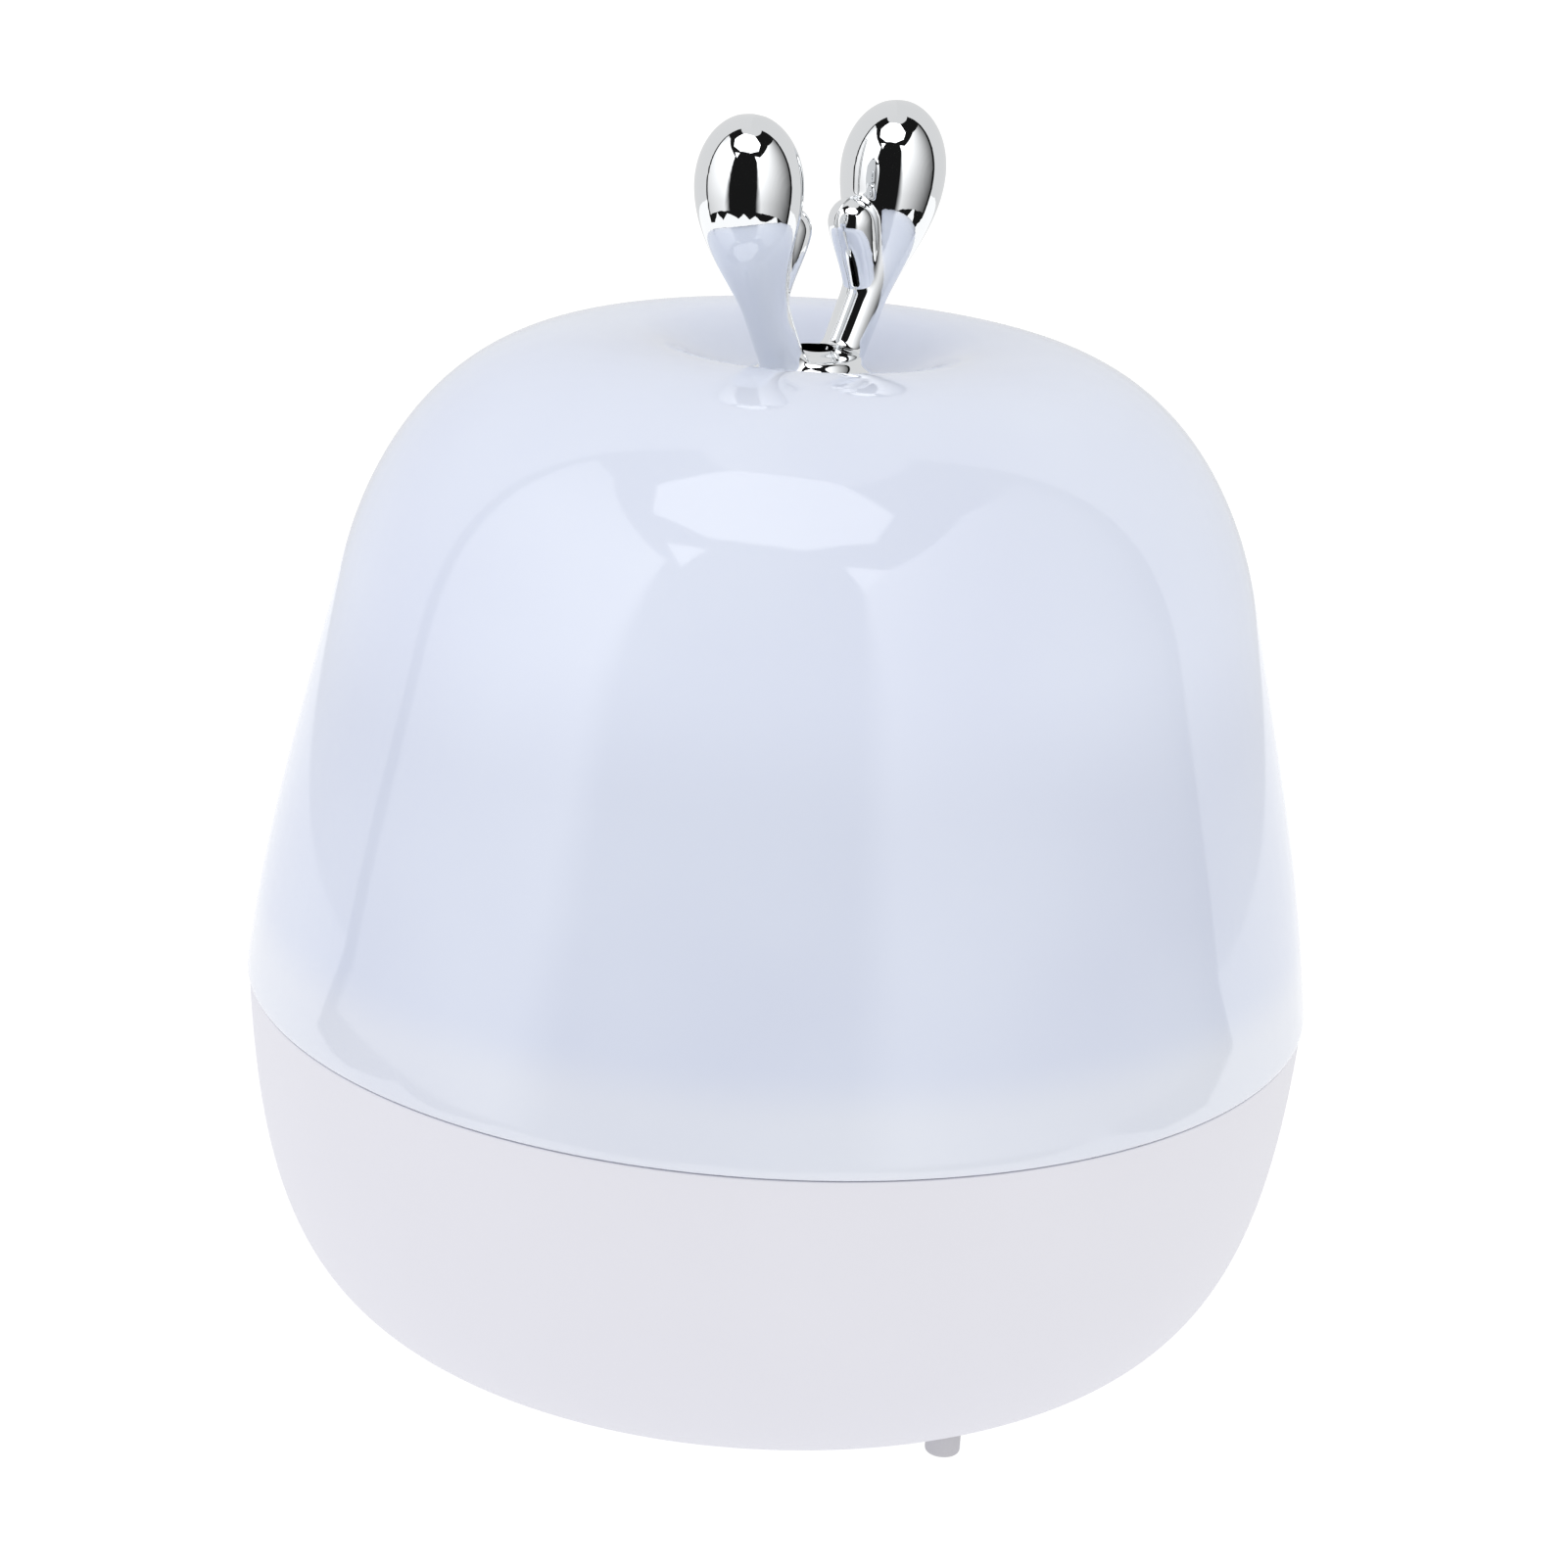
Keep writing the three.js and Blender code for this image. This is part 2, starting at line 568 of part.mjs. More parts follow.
function deck() {
  const edge = radiusAt(BOWL_INSIDE, DECK_Z) - FIT;
  const plate = disc(edge, DECK_Z, DECK_TOP_Z, ROUND_BIG);
  const middleZ = (DECK_Z + DECK_TOP_Z) / 2;
  const wellTop = DECK_TOP_Z + WELL_HEIGHT;
  const well = ring(WELL_RADIUS, WELL_RADIUS + WELL_WALL, middleZ, wellTop, ROUND_BIG);
  const spots = around(SCREW_COUNT, SCREW_CIRCLE, FIRST_SCREW);
  const posts = spots.map((spot) => peg(POST_RADIUS, [PLATE_TOP_Z + FIT, middleZ], spot));
  const screwTip = UNDERSIDE_Z + SCREW_HEAD_HEIGHT + SCREW_LENGTH + SCREW_SHANK_RADIUS;
  const bores = spots.map((spot) => peg(SCREW_SHANK_RADIUS + FIT, [0, screwTip + THROUGH], spot));
  const pillarFace = BOARD_FACE_Y - BOARD_THICKNESS - FIT;
  const pillars = [-PILLAR_X, PILLAR_X].map((x) =>
    box(
      [x - PILLAR_SIZE / 2, x + PILLAR_SIZE / 2],
      [pillarFace - PILLAR_SIZE, pillarFace],
      [CONTROLS_Z - PILLAR_SIZE / 2, middleZ],
    ),
  );
  const leadHole = peg(LEAD_RADIUS + 2 * FIT, [DECK_Z - THROUGH, DECK_TOP_Z + THROUGH], LEAD_SPOT);
  return cut(joined([plate, well, ...posts, ...pillars]), [...bores, ...boardScrewHoles(), leadHole]);
}

function boardScrewHoles() {
  const ends = [BOARD_FACE_Y - BOARD_THICKNESS - BOARD_SCREW_LENGTH - FIT, BOARD_FACE_Y + THROUGH];
  return [-PILLAR_X, PILLAR_X].map((x) => rodAlongY(BOARD_SCREW_RADIUS + FIT, ends, x, CONTROLS_Z));
}

function mainBoard() {
  const board = box(
    [-BOARD_WIDTH / 2, BOARD_WIDTH / 2],
    [BOARD_FACE_Y - BOARD_THICKNESS, BOARD_FACE_Y],
    [BOARD_TOP_Z - BOARD_HEIGHT, BOARD_TOP_Z],
  );
  return cut(solid(board), boardScrewHoles());
}

function boardScrew(x) {
  const headY = BOARD_FACE_Y + FIT;
  const tipY = headY - BOARD_THICKNESS - BOARD_SCREW_LENGTH;
  return joined([
    rodAlongY(BOARD_SCREW_HEAD, [headY, headY + BOARD_SCREW_HEAD_HEIGHT], x, CONTROLS_Z),
    rodAlongY(BOARD_SCREW_RADIUS, [tipY, headY], x, CONTROLS_Z),
  ]);
}

function powerInlet() {
  const ends = [INLET_MOUTH_Y - INLET_DEPTH, INLET_MOUTH_Y];
  const can = slotAlongY(INLET_WIDTH, INLET_HEIGHT, ends, INLET_X, CONTROLS_Z);
  const hollow = [ends[0] + INLET_BACK, ends[1] + THROUGH];
  const walls = 2 * INLET_WALL;
  const mouth = slotAlongY(INLET_WIDTH - walls, INLET_HEIGHT - walls, hollow, INLET_X, CONTROLS_Z);
  const tongueHalf = INLET_WIDTH / 2 - TONGUE_MARGIN;
  const tongue = box(
    [INLET_X - tongueHalf, INLET_X + tongueHalf],
    [ends[0] + INLET_BACK / 2, ends[1] - TONGUE_SETBACK],
    [CONTROLS_Z - INLET_WALL, CONTROLS_Z + INLET_WALL],
  );
  return cut(solid(can), [mouth]).add(solid(tongue));
}

function tactSwitch() {
  const half = SWITCH_SIZE / 2;
  const bodyY = [BOARD_FACE_Y + FIT, BOARD_FACE_Y + FIT + SWITCH_DEPTH];
  return joined([
    box([BUTTON_X - half, BUTTON_X + half], bodyY, [CONTROLS_Z - half, CONTROLS_Z + half]),
    rodAlongY(PLUNGER_RADIUS, [BOARD_FACE_Y + SWITCH_DEPTH / 2, PLUNGER_TIP_Y], BUTTON_X, CONTROLS_Z),
  ]);
}

// The light board is a ring on the deck, open at the rear where the contact column stands.
function ledBoard() {
  const body = ring(
    LED_RING_INNER,
    LED_RING_INNER + LED_BOARD_WIDTH,
    LED_BOARD_Z,
    LED_BOARD_Z + LED_BOARD_THICKNESS,
    ROUND_BIG,
  );
  const gapHalf = COLUMN_WIDTH / 2 + 3 * FIT;
  return cut(solid(body), [box([-gapHalf, gapHalf], [0, 2 * BODY_RADIUS], [0, SEAM_Z])]);
}

function led(x, y, angle) {
  return new THREE.BoxGeometry(LED_DEPTH, LED_WIDTH, LED_HEIGHT)
    .rotateZ(angle)
    .translate(x, y, LED_Z + LED_HEIGHT / 2);
}

// ---- Tank, lid and contacts ----

function waterTank() {
  return turned(
    [
      [0, TANK_Z],
      [TANK_RADIUS - TANK_FOOT_CORNER, TANK_Z],
      [TANK_RADIUS, TANK_Z + TANK_FOOT_CORNER],
      [TANK_RADIUS, TANK_TOP_Z],
      [TANK_INNER, TANK_TOP_Z],
      [TANK_INNER, TANK_FLOOR_Z + TANK_FLOOR_CORNER],
      [TANK_INNER - TANK_FLOOR_CORNER, TANK_FLOOR_Z],
      [0, TANK_FLOOR_Z],
    ],
    ROUND_BIG,
  );
}

const PIN_SPOTS = [
  [-PIN_SPACING / 2, PIN_Y],
  [PIN_SPACING / 2, PIN_Y],
];

function contactColumn() {
  const half = COLUMN_WIDTH / 2;
  const body = box([-half, half], [COLUMN_Y, COLUMN_Y + COLUMN_DEPTH], [DECK_TOP_Z + FIT, COLUMN_TOP_Z]);
  const socketEnds = [COLUMN_TOP_Z - PIN_SOCKET_DEPTH, COLUMN_TOP_Z + THROUGH];
  return cut(
    solid(body),
    PIN_SPOTS.map((spot) => peg(PIN_RADIUS + FIT, socketEnds, spot)),
  );
}

function contactPin([x, y]) {
  return turned(
    [
      [0, COLUMN_TOP_Z - PIN_SOCKET_DEPTH + FIT],
      [PIN_RADIUS, COLUMN_TOP_Z - PIN_SOCKET_DEPTH + FIT],
      [PIN_RADIUS, TANK_TOP_Z - PIN_RADIUS / 2],
      [PIN_RADIUS / 2, TANK_TOP_Z],
      [0, TANK_TOP_Z],
    ],
    ROUND_SMALL,
  ).translate(x, y, 0);
}

function contactPad(spot) {
  return peg(PAD_RADIUS, [LID_Z, LID_Z + PAD_THICKNESS], spot);
}

function tankLid() {
  const skirtOuter = TANK_INNER - SLIDE;
  const skirtInner = skirtOuter - SKIRT_WALL;
  const socketInner = TUBE_OUTER + FIT;
  const socketOuter = socketInner + TUBE_SOCKET_WALL;
  const grooveFloor = skirtOuter - 2 * SEAL_HALF - FIT + SLIDE;
  const grooveHalf = SEAL_HALF + FIT / 2;
  const body = turnedRing(
    [
      [WICK_RADIUS + FIT, LID_Z],
      [socketInner, LID_Z],
      [socketInner, LID_Z - TUBE_SOCKET_DEPTH],
      [socketOuter, LID_Z - TUBE_SOCKET_DEPTH],
      [socketOuter, LID_Z],
      [skirtInner, LID_Z],
      [skirtInner, LID_Z - SKIRT_DROP],
      [skirtOuter, LID_Z - SKIRT_DROP],
      [skirtOuter, SEAL_Z - grooveHalf],
      [grooveFloor, SEAL_Z - grooveHalf],
      [grooveFloor, SEAL_Z + grooveHalf],
      [skirtOuter, SEAL_Z + grooveHalf],
      [skirtOuter, LID_Z],
      [TANK_RADIUS + LID_OVERHANG, LID_Z],
      [TANK_RADIUS + LID_OVERHANG, LID_TOP_Z],
      [WICK_RADIUS + FIT, LID_TOP_Z],
    ],
    ROUND_BIG,
  );
  const tabHalf = COLUMN_WIDTH / 2 + TAB_MARGIN;
  const tabEnds = [TANK_INNER, COLUMN_Y + COLUMN_DEPTH + TAB_MARGIN];
  const tab = box([-tabHalf, tabHalf], tabEnds, [LID_Z, LID_TOP_Z]);
  const pocketEnds = [LID_Z - THROUGH, LID_Z + PAD_THICKNESS + FIT];
  const padPockets = PIN_SPOTS.map((spot) => peg(PAD_RADIUS + FIT, pocketEnds, spot));
  return cut(joined([body, tab]), padPockets);
}

function lidSeal() {
  const middle = TANK_INNER - SEAL_TO_TANK - SEAL_HALF;
  const corners = Array.from({ length: 6 }, (_, i) => {
    const angle = (i * Math.PI) / 3;
    return [middle + SEAL_HALF * Math.cos(angle), SEAL_Z + SEAL_HALF * Math.sin(angle)];
  });
  return turnedRing(corners, ROUND_BIG);
}

// ---- Wick and mist head ----

function wickTube() {
  return ring(TUBE_INNER, TUBE_OUTER, TUBE_Z, LID_Z - FIT, ROUND_MEDIUM);
}

function tubeFootCap() {
  const inner = TUBE_OUTER + FIT;
  const cup = turned([
    [0, FOOT_CAP_Z],
    [inner + FOOT_CAP_WALL, FOOT_CAP_Z],
    [inner + FOOT_CAP_WALL, FOOT_CAP_Z + FOOT_CAP_HEIGHT],
    [inner, FOOT_CAP_Z + FOOT_CAP_HEIGHT],
    [inner, FOOT_CAP_Z + FOOT_CAP_FLOOR],
    [0, FOOT_CAP_Z + FOOT_CAP_FLOOR],
  ]);
  const narrow = [-FOOT_CAP_SLOT / 2, FOOT_CAP_SLOT / 2];
  const high = [FOOT_CAP_Z - THROUGH, FOOT_CAP_Z + FOOT_CAP_FLOOR + THROUGH];
  const reach = [-0.8 * TUBE_INNER, 0.8 * TUBE_INNER];
  return cut(solid(cup), [box(reach, narrow, high), box(narrow, reach, high)]);
}

function wickSpring() {
  const coilRadius = TUBE_INNER - FIT - SPRING_WIRE / 2;
  const stepsPerTurn = 10;
  const points = Array.from({ length: SPRING_TURNS * stepsPerTurn + 1 }, (_, i) => {
    const turn = (i / stepsPerTurn) * 2 * Math.PI;
    const height = SPRING_Z + (i / stepsPerTurn) * SPRING_PITCH;
    return [coilRadius * Math.cos(turn), coilRadius * Math.sin(turn), height];
  });
  return wire(SPRING_WIRE / 2, points, SPRING_TURNS * stepsPerTurn);
}

function discSeal() {
  const outer = DISC_RADIUS + DISC_SEAL_RIM;
  return ring(outer - DISC_SEAL_WIDTH, outer, DISC_SEAL_Z, DISC_SEAL_Z + DISC_SEAL_HEIGHT);
}

// The disc's middle is domed outwards a little: that is the mesh that throws the mist.
function mistDisc() {
  const meshRadius = 0.35 * DISC_RADIUS;
  const meshTop = DISC_Z + 1.8 * DISC_THICKNESS;
  return turned([
    [0, DISC_Z],
    [DISC_RADIUS, DISC_Z],
    [DISC_RADIUS, DISC_Z + DISC_THICKNESS],
    [meshRadius, DISC_Z + DISC_THICKNESS],
    [meshRadius / 2, meshTop],
    [0, meshTop],
  ]);
}

function headCap() {
  const inner = DISC_RADIUS + DISC_SEAL_RIM + FIT;
  return turnedRing([
    [inner, LID_TOP_Z + FIT],
    [inner + CAP_WALL, LID_TOP_Z + FIT],
    [inner + CAP_WALL, CAP_TOP_Z - CAP_CHAMFER],
    [inner + CAP_WALL - CAP_CHAMFER, CAP_TOP_Z],
    [CAP_HOLE_RADIUS + CAP_HOLE_FLARE, CAP_TOP_Z],
    [CAP_HOLE_RADIUS, CAP_TOP_Z - CAP_HOLE_FLARE],
    [CAP_HOLE_RADIUS, CAP_ROOF_Z],
    [inner, CAP_ROOF_Z],
  ]);
}

// ---- Dome and antlers ----

function domeShell() {
  const everySecond = (_, i) => i % 2 === 0;
  const inside = offset(DOME_OUTSIDE, DOME_WALL)
    .filter(([, z]) => z > DOME_FOOT_Z + LIP_DROP)
    .filter(everySecond);
  const outside = DOME_OUTSIDE.slice(1);
  const hole = SPOUT_RADIUS + FIT;
  const inwards = [...inside].reverse();
  return turnedRing(
    [
      [BODY_RADIUS - RIM_ROUND, DOME_FOOT_Z],
      [BODY_RADIUS - 0.3 * RIM_ROUND, DOME_FOOT_Z + 0.3 * RIM_ROUND],
      [BODY_RADIUS, DOME_FOOT_Z + RIM_ROUND],
      ...outside,
      [hole, SEAT_Z],
      [hole, SEAT_Z - DOME_WALL],
      [SEAT_RADIUS, SEAT_Z - DOME_WALL],
      ...inwards.slice(1),
      [LIP_INNER, DOME_FOOT_Z + LIP_WALL],
      [LIP_INNER, LIP_BOTTOM_Z],
      [LIP_OUTER, LIP_BOTTOM_Z],
      [LIP_OUTER, DOME_FOOT_Z],
    ],
    ROUND_BIG,
  );
}

// A body turned about a straight axis, then bent so that the axis follows a curve in the XZ plane.
function bent(profile, curve, segments) {
  const geometry = turned(profile, segments);
  const position = geometry.getAttribute("position");
  const length = profile.at(-1)[1];
  for (let i = 0; i < position.count; i += 1) {
    const share = THREE.MathUtils.clamp(position.getZ(i) / length, 0, 1);
    const centre = curve.getPointAt(share);
    const along = curve.getTangentAt(share);
    const sideways = position.getX(i);
    position.setX(i, centre.x + sideways * along.y);
    position.setZ(i, centre.y - sideways * along.x);
  }
  return geometry;
}

// An antler's outline along its own length: a stem that swells into an egg-shaped bulb.
function limbProfile(length, rootRadius, bulbRadius, cap, taper) {
  const widest = length - cap;
  const taperSteps = 6;
  const capSteps = 4;
  const flanks = Array.from({ length: taperSteps + 1 }, (_, i) => {
    const share = i / taperSteps;
    const blend = (1 - Math.cos(Math.PI * share)) / 2;
    return [THREE.MathUtils.lerp(rootRadius, bulbRadius, blend), widest - taper * (1 - share)];
  });
  const top = Array.from({ length: capSteps - 1 }, (_, i) => {
    const angle = ((i + 1) / capSteps) * (Math.PI / 2);
    return [bulbRadius * Math.cos(angle), widest + cap * Math.sin(angle)];
  });
  return [[0, 0], [rootRadius, 0], ...flanks.filter(([, z]) => z > 0), ...top, [0, length]];
}

function antlerCurve() {
  const rootZ = SEAT_Z + 3 * FIT;
  const root = new THREE.Vector2(ANTLER_ROOT, rootZ);
  const tip = new THREE.Vector2(ANTLER_SPREAD, rootZ + ANTLER_HEIGHT);
  const elbow = root.clone().add(ANTLER_ELBOW);
  return new THREE.CubicBezierCurve(root, elbow, tip.clone().add(ANTLER_RETURN), tip);
}

function antler() {
  const main = antlerCurve();
  const stem = limbProfile(main.getLength(), STEM_RADIUS, BULB_RADIUS, BULB_CAP, BULB_TAPER);
  const start = main.getPointAt(TINE_START);
  const tip = new THREE.Vector2(TINE_TIP.x, SEAM_Z + TINE_TIP.y);
  const branch = new THREE.LineCurve(start, tip);
  const reach = branch.getLength();
  const tine = limbProfile(reach, TINE_ROOT_RADIUS, TINE_KNOB_RADIUS, TINE_KNOB_RADIUS, 0.6 * reach);
  const below = disc(2 * FLARE_FOOT_RADIUS, SEAT_Z - STEM_RADIUS, FLARE_Z);
  return cut(joined([bent(stem, main, ROUND_SMALL), bent(tine, branch, ROUND_SMALL)]), [below]);
}

// Both antlers are one plated moulding with their flared foot and the hollow stem below it.
function antlers() {
  const flareSteps = 4;
  const flare = Array.from({ length: flareSteps + 1 }, (_, i) => {
    const angle = (i / flareSteps) * (Math.PI / 2);
    return [
      FLARE_FOOT_RADIUS - (FLARE_FOOT_RADIUS - FLARE_TOP_RADIUS) * Math.sin(angle),
      FLARE_Z + FLARE_EDGE + (FLARE_HEIGHT - FLARE_EDGE) * (1 - Math.cos(angle)),
    ];
  });
  const foot = turned([
    [0, FLARE_Z - SPOUT_DROP],
    [SPOUT_RADIUS, FLARE_Z - SPOUT_DROP],
    [SPOUT_RADIUS, FLARE_Z],
    [FLARE_FOOT_RADIUS, FLARE_Z],
    ...flare,
    [0, FLARE_Z + FLARE_HEIGHT],
  ]);
  const right = antler();
  const left = right.mirror([1, 0, 0]);
  const bore = disc(MIST_BORE, 0, FLARE_Z + 3 * FLARE_HEIGHT, ROUND_SMALL);
  return cut(solid(foot).add(right).add(left), [bore]);
}

function antlerNut() {
  const top = SEAT_Z - DOME_WALL - FIT;
  const nut = disc(NUT_RADIUS, top - NUT_HEIGHT, top, 6);
  return cut(solid(nut), [disc(SPOUT_RADIUS + FIT, 0, top + THROUGH)]);
}

function mistSleeve() {
  const inner = SPOUT_RADIUS + FIT;
  const bottom = CAP_TOP_Z + SLEEVE_GAP;
  const top = SEAT_Z - DOME_WALL - 2 * FIT - NUT_HEIGHT;
  return turnedRing([
    [inner + SLEEVE_FLARE, bottom],
    [inner + SLEEVE_FLARE + SLEEVE_WALL, bottom],
    [inner + SLEEVE_WALL, bottom + 2 * SLEEVE_FLARE],
    [inner + SLEEVE_WALL, top],
    [inner, top],
    [inner, bottom + 2 * SLEEVE_FLARE],
  ]);
}

// ---- The object ----

addNode("bowl_shell", bowlShell(), MATT_WHITE);
addNode("bottom_plate", bottomPlate(), MATT_WHITE);
around(FOOT_COUNT, FOOT_CIRCLE, FIRST_FOOT).forEach(([x, y], i) => {
  const foot = turned(
    [
      [0, 0],
      [FOOT_RADIUS - FOOT_ROUND, 0],
      [FOOT_RADIUS, FOOT_ROUND],
      [FOOT_RADIUS, UNDERSIDE_Z + FOOT_SOCKET - FIT],
      [0, UNDERSIDE_Z + FOOT_SOCKET - FIT],
    ],
    ROUND_SMALL,
  );
  addNode(`foot_${i + 1}`, foot, FOOT_RUBBER).position.set(x, y, 0);
});
around(SCREW_COUNT, SCREW_CIRCLE, FIRST_SCREW).forEach(([x, y, angle], i) => {
  const screw = addNode(`bottom_screw_${i + 1}`, bottomScrew(), STEEL);
  screw.position.set(x, y, 0);
  screw.rotation.z = angle;
});
addNode("deck", deck(), WHITE_ABS);
addNode("main_board", mainBoard(), BOARD_GREEN);
addNode("board_screw_1", boardScrew(-PILLAR_X), STEEL);
addNode("board_screw_2", boardScrew(PILLAR_X), STEEL);
addNode("power_inlet", powerInlet(), STEEL);
addNode("button_switch", tactSwitch(), BLACK_PLASTIC);
addNode("button_cap", buttonCap(), MATT_WHITE);
addNode("light_board", ledBoard(), BOARD_GREEN);
around(LED_COUNT, LED_RING_INNER + LED_BOARD_WIDTH / 2, FIRST_LED).forEach(([x, y, angle], i) => {
  addNode(`light_${i + 1}`, led(x, y, angle), LED_YELLOW);
});
addNode("water_tank", waterTank(), FROSTED_PP);
addNode("contact_column", contactColumn(), WHITE_ABS);
addNode("contact_pin_1", contactPin(PIN_SPOTS[0]), BRASS);
addNode("contact_pin_2", contactPin(PIN_SPOTS[1]), BRASS);
addNode("tank_lid", tankLid(), WHITE_ABS);
addNode("lid_seal", lidSeal(), SILICONE);
addNode("contact_pad_1", contactPad(PIN_SPOTS[0]), BRASS);
addNode("contact_pad_2", contactPad(PIN_SPOTS[1]), BRASS);
addNode("wick_tube", wickTube(), FROSTED_PP);
addNode("tube_foot_cap", tubeFootCap(), WHITE_ABS);
addNode("wick_spring", wickSpring(), STEEL);
addNode("cotton_wick", disc(WICK_RADIUS, WICK_Z, DISC_Z - FIT), COTTON);
addNode("mist_disc_seal", discSeal(), SILICONE);
addNode("mist_disc", mistDisc(), PIEZO);
addNode("head_cap", headCap(), WHITE_ABS);
addNode("dome_shell", domeShell(), OPAL_GLOSS);
addNode("antlers", antlers(), CHROME);
addNode("antler_nut", antlerNut(), WHITE_ABS);
addNode("mist_sleeve", mistSleeve(), SILICONE);

const lightLead = wire(
  LEAD_RADIUS,
  [
    [...LEAD_SPOT, CONTROLS_Z + SWITCH_SIZE / 2 + 1],
    [...LEAD_SPOT, DECK_Z - FIT],
    [...LEAD_SPOT, LED_BOARD_Z - FIT],
  ],
  6,
);
addNode("light_lead", lightLead, WIRE_RED);

export default model;
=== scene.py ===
"""A round desktop cool mist humidifier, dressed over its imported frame.

A matt bowl stands on three peg feet and carries a glossy opal dome with a dished top. Two chrome
antlers stand in the dish around the mist outlet. Lifting the dome shows the water tank, its lid
with the mist head, and the ring of lights on the deck. Lengths are in millimetres unless a name or
a docstring says otherwise.
"""

import logging
import math
import random
from collections.abc import Iterable, Sequence
from dataclasses import dataclass, field
from enum import Enum

import bmesh
import bpy
from mathutils import Matrix, Vector


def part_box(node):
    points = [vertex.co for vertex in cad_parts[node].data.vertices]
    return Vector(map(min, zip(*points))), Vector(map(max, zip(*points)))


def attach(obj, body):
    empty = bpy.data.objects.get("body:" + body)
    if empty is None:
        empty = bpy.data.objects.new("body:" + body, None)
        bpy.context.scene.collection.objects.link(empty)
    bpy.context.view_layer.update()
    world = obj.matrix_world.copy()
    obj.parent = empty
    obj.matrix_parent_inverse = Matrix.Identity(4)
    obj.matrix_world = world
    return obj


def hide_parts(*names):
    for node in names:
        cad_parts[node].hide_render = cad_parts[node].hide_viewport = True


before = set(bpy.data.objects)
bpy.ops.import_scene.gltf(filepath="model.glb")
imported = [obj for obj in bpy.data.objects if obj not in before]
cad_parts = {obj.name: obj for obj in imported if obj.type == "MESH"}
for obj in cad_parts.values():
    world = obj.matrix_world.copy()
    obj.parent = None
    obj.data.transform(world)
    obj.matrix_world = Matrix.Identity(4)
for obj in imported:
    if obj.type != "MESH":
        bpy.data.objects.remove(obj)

log = logging.getLogger("humidifier")

MM = 0.001
GAP = 0.3  # clearance between pieces that slide into each other, in millimetres
THROUGH = 1.0  # how far a cutting tool stands out of what it cuts
ARC_STEPS = 5  # pieces in one rounded corner
CAMERA_BEARING = -50.0  # degrees round from the front
Outline = list[tuple[float, float]]
Material = bpy.types.Material
Node = bpy.types.Node
Socket = bpy.types.NodeSocket
Thing = bpy.types.Object
Tree = bpy.types.NodeTree


class Segments(Enum):
    """How finely a turned piece is cut round its axis."""

    LARGE = 256
    MEDIUM = 128
    SMALL = 48


# ---- Colour and materials ----


def linear(hex_colour: str) -> tuple[float, float, float, float]:
    """Turns an sRGB hex colour into linear light.

    Args:
        hex_colour: Six hex digits, with or without a leading hash.

    Returns:
        Linear red, green and blue, with an alpha of 1.
    """
    digits = hex_colour.lstrip("#")
    channels = [int(digits[i : i + 2], 16) / 255 for i in (0, 2, 4)]
    steps = [c / 12.92 if c <= 0.04045 else ((c + 0.055) / 1.055) ** 2.4 for c in channels]
    return (steps[0], steps[1], steps[2], 1.0)


def add_node(
    tree: Tree, kind: str, settings: dict | None = None, links: dict | None = None
) -> Node:
    """Adds one shader node with its settings and its incoming links.

    Args:
        tree: The node tree to add to.
        kind: The node's Blender type name.
        settings: Attribute or input names, each with its value.
        links: Input names, each with the output socket that feeds it.

    Returns:
        The new node.
    """
    node = tree.nodes.new(kind)
    for name, value in (settings or {}).items():
        if name in node.inputs:
            node.inputs[name].default_value = value
        else:
            setattr(node, name, value)
    for name, output in (links or {}).items():
        tree.links.new(output, node.inputs[name])
    return node


def add_ramp(tree: Tree, factor: Socket, stops: Sequence[tuple[float, tuple]]) -> Node:
    """Adds a colour ramp.

    Args:
        tree: The node tree to add to.
        factor: Output socket that drives it.
        stops: Position and linear colour of each stop, in order.

    Returns:
        The ramp node.
    """
    ramp = add_node(tree, "ShaderNodeValToRGB", links={"Fac": factor})
    elements = ramp.color_ramp.elements
    while len(elements) < len(stops):
        elements.new(0.5)
    for element, (position, colour) in zip(elements, stops):
        element.position = position
        element.color = colour
    return ramp


